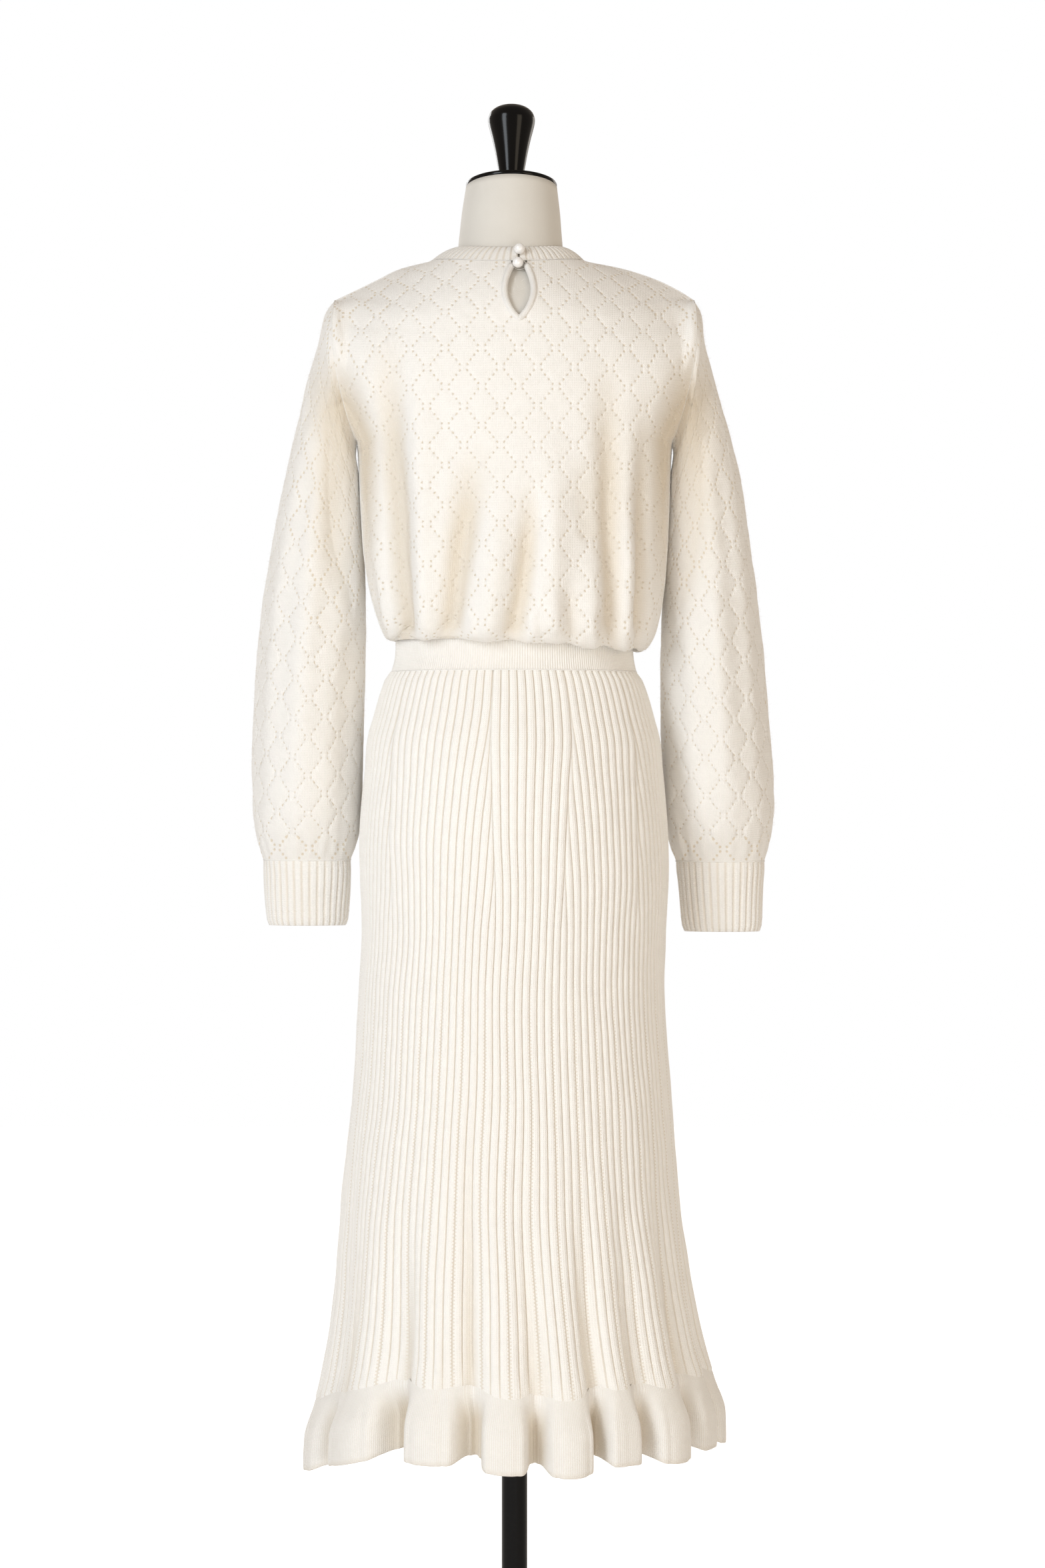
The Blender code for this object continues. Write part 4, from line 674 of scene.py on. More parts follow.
def rib_places(share, ribs):
    """Angles of the valleys between the ribs on one level of the skirt, and the ribs' widths."""
    fine = np.linspace(-math.pi, math.pi, 1441)
    height = SEAM_HEIGHT + (SKIRT_TOP - SEAM_HEIGHT) * share
    x, y = oval(fine, *sizes_at(SKIRT_LEVELS, np.array(height)))
    length = np.concatenate([[0.0], np.cumsum(np.hypot(np.diff(x), np.diff(y)))])
    length -= np.interp(0.0, fine, length)
    weights = np.array([rib_weight(start, height) for _, start in ribs])
    edges = np.concatenate([[0.0], np.cumsum(weights)])
    zero = [number for number, _ in ribs].index(0.0)
    edges = (edges - edges[zero] - weights[zero] / 2) / edges[-1]
    total = length[-1] - length[0]
    wanted = edges * total
    turn = np.floor((wanted - length[0]) / total)
    angles = np.interp(wanted - turn * total, length, fine) + turn * 2 * math.pi
    return angles, weights


# ---------------------------------------------------------------- sheets, cords and turned pieces


def settled(shape, mesh):
    """Writes an edited shape into its mesh and frees it."""
    shape.to_mesh(mesh)
    shape.free()
    return mesh


def reopened(mesh):
    """The shape of a mesh, to be edited."""
    shape = bmesh.new()
    shape.from_mesh(mesh)
    return shape


def finished(name, mesh, material):
    """Makes a piece of a mesh, gives it its finish and lets it ride with the part."""
    thing = bpy.data.objects.new(name, mesh)
    bpy.context.scene.collection.objects.link(thing)
    mesh.materials.append(material)
    mesh.polygons.foreach_set("use_smooth", np.ones(len(mesh.polygons), bool))
    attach(thing, "root")
    return thing


def grid_mesh(name, points, flat=None):
    """A mesh through rows and columns of points, with its flat map, and the row and column of each
    of its vertices."""
    rows, columns = points.shape[:2]
    shape = bmesh.new()
    bmesh.ops.create_grid(shape, x_segments=columns - 1, y_segments=rows - 1, size=1.0)
    mesh = settled(shape, bpy.data.meshes.new(name))
    places = np.empty(len(mesh.vertices) * 3, np.float32)
    mesh.vertices.foreach_get("co", places)
    column = np.rint((places[0::3] + 1) / 2 * (columns - 1)).astype(int)
    row = np.rint((places[1::3] + 1) / 2 * (rows - 1)).astype(int)
    mesh.vertices.foreach_set("co", (points[row, column] * MM).astype(np.float32).ravel())
    if flat is not None:
        corners = np.empty(len(mesh.loops), np.int32)
        mesh.loops.foreach_get("vertex_index", corners)
        cloth_map = mesh.uv_layers.new(name="cloth")
        cloth_map.data.foreach_set("uv", flat[row[corners], column[corners]].astype(np.float32).ravel())
    return mesh, row, column


def normals_of(points, closed):
    """Unit normals of rows and columns of points, pointing away from the middle of each row."""
    if closed:
        across = np.roll(points, -1, axis=1) - np.roll(points, 1, axis=1)
        across[:, 0] = points[:, 1] - points[:, -2]
        across[:, -1] = across[:, 0]
    else:
        across = np.gradient(points, axis=1)
    up = np.gradient(points, axis=0)
    normal = np.cross(across, up)
    normal /= np.maximum(np.linalg.norm(normal, axis=-1, keepdims=True), 1e-9)
    middle = points.mean(axis=1, keepdims=True) if closed else points * (0, 0, 1)
    if (normal * (points - middle)).sum() < 0:
        normal = -normal
    return normal


def flat_map(points, middle):
    """Place of every point on the flat cloth in mm: across from the middle column, and up."""
    side = np.linalg.norm(np.diff(points, axis=1), axis=-1)
    across = np.concatenate([np.zeros((len(points), 1)), np.cumsum(side, axis=1)], axis=1)
    rise = np.linalg.norm(np.diff(points, axis=0), axis=-1)
    up = np.concatenate([np.zeros((1, points.shape[1])), np.cumsum(rise, axis=0)], axis=0)
    return np.stack([across - across[:, middle:middle + 1], up], axis=-1)


def armpit_trough(points):
    """Moves the cloth inwards where the sleeves meet the body, on both sides of the seam alike."""
    depth, inner, outer, top, deepest, lowest = ARMPIT_TROUGH
    x, y, z = np.abs(points[..., 0]), points[..., 1], points[..., 2]
    seam = armhole_at(z, -1)[0]
    along = ease((top - z) / (top - deepest)) * ease((z - lowest) / (deepest - lowest))
    width = np.where(x < seam, inner, outer)
    push = depth * along * np.exp(-(((x - seam) / width) ** 2))
    away = y - ARMHOLE_Y
    moved = points.copy()
    moved[..., 1] -= np.sign(away) * np.minimum(push, np.abs(away) * 0.45)
    return moved


def trough_painted_shade(before, after):
    """Painted shade of the armpit trough: how far it moves each point in."""
    return np.clip(np.abs(after[..., 1] - before[..., 1]) / TROUGH_PAINTED_SHADE_DEPTH, 0.0, 1.5)


def eyelet_spots(flat, lattice, origin):
    """Centres of the eyelets: two zigzag lines that lean together at each point of the diamonds."""
    width, height = lattice
    low = np.floor((flat.reshape(-1, 2).min(axis=0) - origin) / (width, height)).astype(int) - 1
    high = np.ceil((flat.reshape(-1, 2).max(axis=0) - origin) / (width, height)).astype(int) + 1
    spots = []
    for column in range(2 * low[0], 2 * high[0]):
        for row in range(2 * low[1], 2 * high[1]):
            if (column + row) % 2:
                continue
            middle = origin + np.array((column * width / 2, row * height / 2))
            for order in range(LACE_EYELETS):
                aside = width / 2 * EYELET_ASIDE * (order + 1)
                above = height / 2 * (EYELET_RISE[0] * (order + 1) - EYELET_RISE[1])
                spots += [middle + (aside, above), middle + (-aside, above)]
    return np.array(spots)


def lattice_relief(flat, lattice, origin):
    """1 on the lines of the diamonds and 0 inside them."""
    width, height = lattice
    across = (flat[..., 0] - origin[0]) / width
    along = (flat[..., 1] - origin[1]) / height
    first = (across + along + 0.5) % 1.0 - 0.5
    second = (across - along + 0.5) % 1.0 - 0.5
    near = np.minimum(np.abs(first), np.abs(second)) * width * 0.73
    return np.exp(-((near / 3.4) ** 2))


def pierce(points, flat, spots, closed, keep):
    """Sinks an eyelet at each spot: its nearest point goes deep, the eight round it make the rim.
    Where the grid is too slanted or coarse for a rim, the points near the spot sink a little."""
    rows, columns = points.shape[:2]
    tree = KDTree(rows * columns)
    for index, (across, up) in enumerate(flat.reshape(-1, 2)):
        tree.insert((across, up, 0.0), index)
    tree.balance()
    normal = normals_of(points, closed)
    result = points.copy()
    taken = set()
    for across, up in spots:
        _, index, distance = tree.find((across, up, 0.0))
        row, column = divmod(index, columns)
        if distance > EYELET_REACH or not (3 <= row < rows - 3 and 3 <= column < columns - 3):
            continue
        if not keep(points[row, column]) or (row, column) in taken:
            continue
        side = points[row, column + 1] - points[row, column - 1]
        rise = points[row + 1, column] - points[row - 1, column]
        steps = np.array([
            flat[row, column + 1] - flat[row, column - 1], flat[row + 1, column] - flat[row - 1, column],
        ])
        sizes = np.linalg.norm(steps, axis=1)
        square = abs(np.linalg.det(steps)) / max(sizes.prod(), 1e-9)
        taken.add((row, column))
        if square < SLANTED_MESH or sizes.max() > MESH_STEPS[1] or sizes.min() < MESH_STEPS[0]:
            for down, over in ((0, 0), *AROUND):
                spot = (row + down, column + over)
                near = max(0.0, 1 - (np.linalg.norm(flat[spot] - (across, up)) / 1.7) ** 2)
                result[spot] -= normal[spot] * EYELET_DEPTH * 0.7 * near
            continue
        back = np.linalg.inv(steps)
        centre_shift = (np.array((across, up)) - flat[row, column]) @ back
        centre = points[row, column] + centre_shift[0] * side + centre_shift[1] * rise
        result[row, column] = centre - normal[row, column] * EYELET_DEPTH
        for down, over in AROUND:
            spot = (row + down, column + over)
            taken.add(spot)
            away = flat[spot] - (across, up)
            away = away / np.linalg.norm(away) * EYELET_RADIUS @ back
            rim = centre + away[0] * side + away[1] * rise
            result[spot] = rim - normal[row, column] * EYELET_DIMPLE
    return result


def knit_sheet(name, points, flat, closed, material, gone=(), painted_hollow_shade=None):
    """A sheet of cloth through rows and columns of points, with its flat map and a point attribute of
    painted shade for its folds and troughs, some points gone."""
    mesh, row, column = grid_mesh(name, points, flat)
    if painted_hollow_shade is not None:
        depths = mesh.attributes.new("painted_hollow_shade", "FLOAT", "POINT")
        depths.data.foreach_set("value", painted_hollow_shade[row, column].astype(np.float32))
    shape = reopened(mesh)
    if len(gone):
        index_of = np.empty(points.shape[:2], int)
        index_of[row, column] = np.arange(len(row))
        shape.verts.ensure_lookup_table()
        lost = [shape.verts[index] for index in index_of.ravel()[list(gone)]]
        bmesh.ops.delete(shape, geom=lost, context="VERTS")
    if closed:
        bmesh.ops.remove_doubles(shape, verts=shape.verts, dist=1e-6)
    middle = points.mean(axis=1) * MM
    facing = 0.0
    for face in list(shape.faces)[::97]:
        centre = face.calc_center_median()
        inside = (0.0, 0.0, centre.z)
        if closed:
            inside = middle[np.argmin(np.abs(middle[:, 2] - centre.z))]
        facing += face.normal.dot(centre - Vector(inside))
    if facing < 0:
        bmesh.ops.reverse_faces(shape, faces=shape.faces)
    return finished(name, settled(shape, mesh), material)


def knit_cord(name, path, radius, sides, closed, material):
    """A round knitted or twisted cord along a path in mm."""
    path = np.array(path, float)
    if closed:
        path = np.concatenate([path, path[:1]])
        along = np.roll(path, -1, axis=0) - np.roll(path, 1, axis=0)
        along[0] = along[-1] = path[1] - path[-2]
    else:
        along = np.gradient(path, axis=0)
    along /= np.linalg.norm(along, axis=1, keepdims=True)
    guide = np.array([0.0, 1.0, 0.0]) + 0 * along
    guide[np.abs(along[:, 1]) > 0.9] = (0.0, 0.0, 1.0)
    side = np.cross(along, guide)
    side /= np.linalg.norm(side, axis=1, keepdims=True)
    other = np.cross(along, side)
    turn = np.linspace(0, 2 * math.pi, sides + 1)[None, :, None]
    points = path[:, None] + radius * (side[:, None] * np.cos(turn) + other[:, None] * np.sin(turn))
    points[:, -1] = points[:, 0]
    if not closed:
        ends = (path[:1, None] + 0 * points[:1], path[-1:, None] + 0 * points[:1])
        points = np.concatenate([ends[0], points, ends[1]])
    mesh, _, _ = grid_mesh(name, points, flat_map(points, 0))
    shape = reopened(mesh)
    bmesh.ops.remove_doubles(shape, verts=shape.verts, dist=1e-6)
    bmesh.ops.recalc_face_normals(shape, faces=shape.faces)
    return finished(name, settled(shape, mesh), material)


def mohair_halo(name, cloths, count, material):
    """Fine loose fibres that stand off the cloth, each a narrow ribbon that leans and bends."""
    draw = np.random.default_rng(11)
    roots, outward, leaning = [], [], []
    for points, closed, share in cloths:
        normal = normals_of(points, closed)
        size = int(count * share)
        row = draw.integers(4, points.shape[0] - 4, size)
        column = draw.integers(3, points.shape[1] - 3, size)
        roots.append(points[row, column] - normal[row, column] * 0.3)
        outward.append(normal[row, column])
        across = points[row, column + 1] - points[row, column - 1]
        rise = points[row + 1, column] - points[row - 1, column]
        turn = draw.uniform(0, 2 * math.pi, size)[:, None]
        lean = across / np.linalg.norm(across, axis=1, keepdims=True) * np.cos(turn)
        lean = lean + rise / np.linalg.norm(rise, axis=1, keepdims=True) * np.sin(turn)
        leaning.append(lean)
    root, normal, lean = (np.concatenate(part) for part in (roots, outward, leaning))
    size = len(root)
    reach = draw.uniform(*FIBRE_LENGTH, (size, 1))
    lift = draw.uniform(*FIBRE_LIFT, (size, 1))
    aside = np.cross(normal, lean)
    bend = draw.uniform(*FIBRE_BEND, (size, 1))
    places = np.empty((size, 3, 2, 3))
    for step, (along, width) in enumerate(FIBRE_RIBBON):
        spine = root + lean * reach * along + normal * lift * math.sin(along * 1.9) + aside * bend * along**2
        for edge, sign in enumerate((-1, 1)):
            places[:, step, edge] = spine + aside * width * sign
    mesh, row, _ = grid_mesh(name, places.reshape(size * 3, 2, 3))
    shape = reopened(mesh)
    between = [face for face in shape.faces if min(row[vert.index] for vert in face.verts) % 3 == 2]
    bmesh.ops.delete(shape, geom=between, context="FACES")
    return finished(name, settled(shape, mesh), material)


def turned(name, profile, place, material, steps=72):
    """A lathed piece from radius and height rows, spun round its axis and then put in place."""
    shape = bmesh.new()
    points = [shape.verts.new((radius * MM, 0.0, height * MM)) for radius, height in profile]
    lines = [shape.edges.new(pair) for pair in zip(points, points[1:])]
    bmesh.ops.spin(
        shape, geom=points + lines, cent=(0, 0, 0), axis=(0, 0, 1), angle=2 * math.pi, steps=steps,
        use_merge=True, use_duplicate=False,
    )
    bmesh.ops.remove_doubles(shape, verts=shape.verts, dist=1e-6)
    bmesh.ops.recalc_face_normals(shape, faces=shape.faces)
    bmesh.ops.transform(shape, matrix=place, verts=shape.verts)
    return finished(name, settled(shape, bpy.data.meshes.new(name)), material)


def rounded_profile(profile, steps):
    """The profile with smooth rows between its own ones."""
    table = np.array([(index, radius, height) for index, (radius, height) in enumerate(profile)], float)
    at = np.linspace(0, len(profile) - 1, (len(profile) - 1) * steps + 1)
    radius = np.maximum(level(table, 1, at), 0.0)
    return list(zip(radius, level(table, 2, at)))


# ---------------------------------------------------------------- finishes


class Number:
    """A number inside a material. Arithmetic on it adds the nodes that work it out."""

    def __init__(self, tree, socket):
        self.tree = tree
        self.socket = socket

    def worked(self, kind, *values):
        """The outcome of one arithmetic node, of this number alone or with the values given."""
        node = self.tree.nodes.new("ShaderNodeMath")
        node.operation = kind
        for socket, value in zip(node.inputs, values or (self,)):
            if isinstance(value, Number):
                self.tree.links.new(value.socket, socket)
            else:
                socket.default_value = value
        return Number(self.tree, node.outputs[0])

    def __add__(self, other):
        return self.worked("ADD", self, other)

    def __sub__(self, other):
        return self.worked("SUBTRACT", self, other)

    def __rsub__(self, other):
        return self.worked("SUBTRACT", other, self)

    def __mul__(self, other):
        return self.worked("MULTIPLY", self, other)

    def __truediv__(self, other):
        return self.worked("DIVIDE", self, other)

    def __abs__(self):
        return self.worked("ABSOLUTE")

    def __gt__(self, other):
        return self.worked("GREATER_THAN", self, other)

    def __lt__(self, other):
        return self.worked("LESS_THAN", self, other)

    def fraction(self):
        """What is left above the whole number below."""
        return self.worked("FRACT")

    def larger(self, other):
        """The larger of two."""
        return self.worked("MAXIMUM", self, other)

    def ramp(self, start, end, low, high, kind="LINEAR"):
        """low up to start and high from end on, with a slope between."""
        node = self.tree.nodes.new("ShaderNodeMapRange")
        node.interpolation_type = kind
        self.tree.links.new(self.socket, node.inputs["Value"])
        for socket, value in zip(("From Min", "From Max", "To Min", "To Max"), (start, end, low, high)):
            node.inputs[socket].default_value = value
        return Number(self.tree, node.outputs[0])


class Finish:
    """A material with its shader, set to the given constants, and what can feed that shader."""

    def __init__(self, name, constants):
        self.material = bpy.data.materials.new(name)
        self.material.use_nodes = True
        self.tree = self.material.node_tree
        self.shader = self.tree.nodes["Principled BSDF"]
        for socket, value in constants.items():
            self.shader.inputs[socket].default_value = value

    def number(self, socket):
        """A socket as a number."""
        return Number(self.tree, socket)

    def feed(self, source, socket):
        """Joins a node's output to one of the shader's sockets."""
        self.tree.links.new(source, self.shader.inputs[socket])

    def cloth_place(self):
        """The two numbers of the flat map."""
        source = self.tree.nodes.new("ShaderNodeUVMap")
        source.uv_map = "cloth"
        parts = self.tree.nodes.new("ShaderNodeSeparateXYZ")
        self.tree.links.new(source.outputs["UV"], parts.inputs[0])
        return self.number(parts.outputs[0]), self.number(parts.outputs[1])

    def painted_hollow_shade(self):
        """Painted shade for folds and troughs, from its point attribute."""
        source = self.tree.nodes.new("ShaderNodeAttribute")
        source.attribute_name = "painted_hollow_shade"
        return self.number(source.outputs["Fac"])

    def pattern(self, kind, output, **sizes):
        """A procedural texture in the part's own space."""
        place = self.tree.nodes.new("ShaderNodeTexCoord")
        texture = self.tree.nodes.new(kind)
        for socket, value in sizes.items():
            texture.inputs[socket].default_value = value
        self.tree.links.new(place.outputs["Object"], texture.inputs["Vector"])
        return texture, self.number(texture.outputs[output])

    def grain(self, scale, detail, roughness=0.6):
        """Fine unevenness."""
        return self.pattern("ShaderNodeTexNoise", 0, Scale=scale, Detail=detail, Roughness=roughness)[1]

    def between(self, factor, low, high):
        """A colour between two, by a factor. The first may come from another mix."""
        mix = self.tree.nodes.new("ShaderNodeMix")
        mix.data_type = "RGBA"
        self.tree.links.new(factor.socket, mix.inputs["Factor"])
        if isinstance(low, tuple):
            mix.inputs[6].default_value = (*low, 1.0)
        else:
            self.tree.links.new(low, mix.inputs[6])
        mix.inputs[7].default_value = (*high, 1.0)
        return mix.outputs[2]

    def relief(self, height, strength, distance):
        """Joins a height to the shader's normal."""
        bump = self.tree.nodes.new("ShaderNodeBump")
        bump.inputs["Strength"].default_value = strength
        bump.inputs["Distance"].default_value = distance
        self.tree.links.new(height.socket, bump.inputs["Height"])
        self.feed(bump.outputs[0], "Normal")


def scaled(colour, factor):
    """A colour made lighter or darker."""
    return tuple(min(1.0, value * factor) for value in colour)


def stitch_height(across, along):
    """Height of knitted stitches, from places counted in stitches: columns of leaning loops."""
    lean = abs(across.fraction() - 0.5)
    loop = abs((along + lean * 0.9).fraction() - 0.5)
    return loop * loop * -2.6 + lean * lean * -3.4


def nearness(value, half_width):
    """1 where a value is a whole number, falling to 0 at half_width from it."""
    return (0.5 - abs(value.fraction() - 0.5)).ramp(0.0, half_width, 1.0, 0.0, "SMOOTHSTEP")


def zigzag_eyelets(across, along):
    """1 in the tiny eyelets that stand in two rows in every third valley of the lower skirt."""
    third = ((across / 3.0 + 0.5).fraction() - 0.5) * 3.0
    side = third > 0.0
    near = (abs(third) - 0.12) * 7.4
    step = ((along * (1 / EYELET_STEP) + side * 0.5).fraction() - 0.5) * EYELET_STEP
    hole = near * near + step * step < 0.6
    return hole * along.ramp(DOTS_END, DOTS_END - DOTS_FADE, 0.0, 1.0)


def diamond_eyelets(across, along, lattice):
    """1 in the eyelets that stand along the diamonds, as many to each side as are pierced."""
    width, height = lattice
    over = across * (2.0 / width)
    rise = along * (2.0 / height)
    cell = over.worked("FLOOR") + rise.worked("FLOOR")
    odd = (cell * 0.5).fraction() * 2.0
    over = over.fraction()
    over = (1.0 - over) * odd + over * (1.0 - odd)
    order = (over * (LACE_EYELETS + 1.0)).worked("ROUND").larger(1.0)
    order = order.worked("MINIMUM", order, float(LACE_EYELETS))
    aside = (over - order * EYELET_ASIDE) * (width / 2 * 1.1)
    above = (rise.fraction() - (order * EYELET_RISE[0] - EYELET_RISE[1])) * (height / 2 * 0.9)
    away = (aside * aside + above * above).worked("SQRT")
    return away.ramp(*EYELET_BLUR, 1.0, 0.0, "SMOOTHSTEP")


def knit_finish(name, stitch, fuzz, sheen, relief=0.45, dots=False, lattice=None, valley=None, tone=1.0):
    """A knitted finish: stitch is the width and height of one stitch, fuzz how much its fibre blurs it. With
    dots it is the skirt's, with a lattice the mohair's; the eyelets of both get painted shade. Valley is how
    wide the painted shade between ribs is and how far it goes to the shade colour, where the flat map counts
    ribs. Folds get painted shade from the point attribute."""
    finish = Finish(name, {
        "Roughness": 0.92, "Specular IOR Level": 0.12, "Sheen Weight": sheen, "Sheen Roughness": 0.5,
        "Sheen Tint": (1.0, 0.97, 0.93, 1.0),
    })
    across, along = finish.cloth_place()
    knit = stitch_height(across * (1.0 / stitch[0]), along * (1.0 / stitch[1]))
    yarn = finish.grain(750.0, 4.0)
    cloud = finish.grain(90.0, 3.0, 0.5)
    # random yarn and cloud tone, plus painted shade that darkens the stitches' recesses
    tone_and_stitch_shade = knit * 0.2 + yarn * fuzz + cloud * 0.5 + 0.45
    # painted shade: warm tone in folds, rib valleys and eyelets
    deep = finish.painted_hollow_shade() * PAINTED_SHADE_STRENGTH
    if valley:
        deep = deep.larger(nearness(across, valley[0]) * valley[1])
    if dots:
        hole = zigzag_eyelets(across, along)
        deep = deep.larger(hole * 0.55)
        knit = knit - hole * 1.5
    if lattice:
        hole = diamond_eyelets(across, along, lattice)
        deep = deep.larger(hole * 0.95)
        knit = knit - hole * 2.0
    colour = finish.between(tone_and_stitch_shade, scaled(CREAM, 0.9 * tone), scaled(CREAM, 1.03 * tone))
    finish.feed(finish.between(deep, colour, PAINTED_SHADE_COLOUR), "Base Color")
    finish.relief(knit + yarn * (2.0 * fuzz), relief, 0.0009)
    return finish.material


def fibre_finish():
    """Loose mohair fibre: pale and faintly silky."""
    finish = Finish("loose_mohair_fibre", {
        "Roughness": 0.6, "Specular IOR Level": 0.3, "Sheen Weight": 0.4,
    })
    cloud = finish.grain(120.0, 2.0)
    finish.feed(finish.between(cloud, scaled(CREAM, 0.93), scaled(CREAM, 1.06)), "Base Color")
    return finish.material


def form_finish():
    """Close-woven cream cover of the dress form."""
    finish = Finish("form_cover", {
        "Roughness": 0.7, "Specular IOR Level": 0.3, "Sheen Weight": 0.12,
    })
    wave, weave = finish.pattern("ShaderNodeTexWave", "Fac", Scale=620.0, Distortion=1.5)
    wave.wave_type = "BANDS"
    wave.bands_direction = "Z"
    fine = finish.grain(1500.0, 2.0)
    tone = finish.grain(40.0, 3.0) * 0.5 + fine * 0.5
    finish.feed(finish.between(tone, (0.66, 0.63, 0.575), (0.75, 0.72, 0.66)), "Base Color")
    finish.relief(weave + fine, 0.12, 0.0004)
    return finish.material


def lacquer_finish(name, colour, roughness):
    """Gloss black lacquer, faintly uneven, with fine dust dulling it here and there."""
    finish = Finish(name, {"Specular IOR Level": 0.18, "Coat Weight": 0.06, "Coat Roughness": 0.06})
    cloud = finish.grain(26.0, 4.0)
    speck = finish.grain(900.0, 2.0)
    finish.feed(finish.between(cloud * speck, colour, scaled(colour, 2.2)), "Base Color")
    finish.feed((cloud * 0.12 + roughness).socket, "Roughness")
    finish.relief(cloud, 0.03, 0.001)
    return finish.material


def pearl_finish():
    """Pearl lustre: soft white with a clear coat and faint clouds."""
    finish = Finish("pearl_lustre", {
        "Roughness": 0.22, "Metallic": 0.08, "Coat Weight": 0.8, "Coat Roughness": 0.08,
    })
    cloud = finish.grain(260.0, 3.0)
    finish.feed(finish.between(cloud, (0.88, 0.86, 0.84), (0.97, 0.96, 0.95)), "Base Color")
    finish.relief(cloud, 0.05, 0.0005)
    return finish.material


# ---------------------------------------------------------------- knitted pieces


def inside_keyhole(point):
    """True where a point of the back lies within the keyhole's rolled edge."""
    x, _, z = point
    if z < KEYHOLE_EDGE[0, 0] + 1.2:
        return False
    half = np.interp(z, KEYHOLE_EDGE[:, 0], KEYHOLE_EDGE[:, 1])
    return abs(x - KEYHOLE_X) < half - 0.2


def near_keyhole(point):
    """True within the keyhole and its edge."""
    x, _, z = point
    half = np.interp(z, KEYHOLE_EDGE[:, 0], KEYHOLE_EDGE[:, 1])
    return z > KEYHOLE_EDGE[0, 0] - 5.0 and abs(x - KEYHOLE_X) < half + 5.0


def panel_map(points, first_yoke_row):
    """Flat map of a bodice panel whose columns stay upright in the yoke."""
    middle = points.shape[1] // 2
    flat = flat_map(points, middle)
    flat[..., 1] = flat[:, middle:middle + 1, 1]
    base = points[first_yoke_row]
    tracks = np.linspace(base[:, 0].min(), base[:, 0].max(), 161)
    yoke = points[first_yoke_row:]
    flat[first_yoke_row:, :, 0] = np.interp(yoke[..., 0], base[:, 0], flat[first_yoke_row, :, 0])
    path = np.array([
        np.stack([np.interp(tracks, row[:, 0], row[:, axis]) for axis in range(3)], axis=-1) for row in yoke
    ])
    rise = np.linalg.norm(np.diff(path, axis=0), axis=-1)
    rise = np.concatenate([np.zeros((1, len(tracks))), np.cumsum(rise, axis=0)])
    start = flat[first_yoke_row, middle, 1]
    for order, row in enumerate(yoke):
        flat[first_yoke_row + order, :, 1] = start + np.interp(row[:, 0], tracks, rise[order])
    return flat


def fold_depth(folds, flat, height):
    """How far the soft folds push a bodice panel inwards."""
    total = 0.0
    for low_place, high_place, low, high, width, depth in folds:
        share = np.clip((height - low) / (high - low), 0.0, 1.0)
        away = flat[..., 0] - low_place - (high_place - low_place) * share
        along = ease(share / 0.15 + 0.45) * ease((1 - share) / 0.55)
        spread = width * (1 + 0.5 * share)
        total = total + depth * along * np.exp(-((away / spread) ** 2))
    return total


def make_bodice(name, side, mesh_size, folds, material):
    """A bodice panel with its folds, the pattern of eyelets and, on the back, the keyhole."""
    columns, rows = mesh_size
    middle = columns // 2
    across = np.linspace(-1, 1, columns)[None, :]
    up = np.linspace(0, YOKE_LENGTH + YOKE_RUN * 0.995, rows)[:, None]
    points = bodice_form(across, up, side)
    flat = panel_map(points, int(np.argmax(up[:, 0] >= YOKE_LENGTH)))
    point_up = np.interp(LATTICE_HEIGHT, points[:, middle, 2], flat[:, middle, 1])
    origin = np.array((LATTICE_POINT[side], point_up))
    inward = fold_depth(folds, flat, points[..., 2])
    # painted shade, warmer where the folds push the cloth further in
    painted_hollow_shade = np.clip(inward / FOLD_PAINTED_SHADE_DEPTH, 0.0, 1.0)
    inward = inward + UNEVENNESS * uneven(flat[..., 0], flat[..., 1], 1.5 + 0.5 * side)
    inward = inward + LATTICE_RELIEF * lattice_relief(flat, BODICE_LATTICE, origin)
    edge = ease((1 - np.abs(across)) / 0.07) * ease(up / 20.0) * ease((YOKE_LENGTH + YOKE_RUN - up) / 8.0)
    points = points - normals_of(points, False) * (inward * edge)[..., None]
    pucker = np.interp(flat[..., 0], BLOUSE_EDGE[:, 0], BLOUSE_EDGE[:, 1 if side < 0 else 2])
    points[..., 2] += pucker * ease(up / 6.0) * ease((46.0 - up) / 40.0)
    tucked = armpit_trough(points)
    # painted shade also in the armpit trough
    painted_hollow_shade = np.maximum(painted_hollow_shade, trough_painted_shade(points, tucked))
    spots = eyelet_spots(flat, BODICE_LATTICE, origin)
    points = pierce(tucked, flat, spots, False, lambda point: side > 0 or not near_keyhole(point))
    gone = ()
    if side < 0:
        gone = [index for index, point in enumerate(points.reshape(-1, 3)) if inside_keyhole(point)]
    return knit_sheet(name, points, flat - origin, False, material, gone, painted_hollow_shade=painted_hollow_shade), points


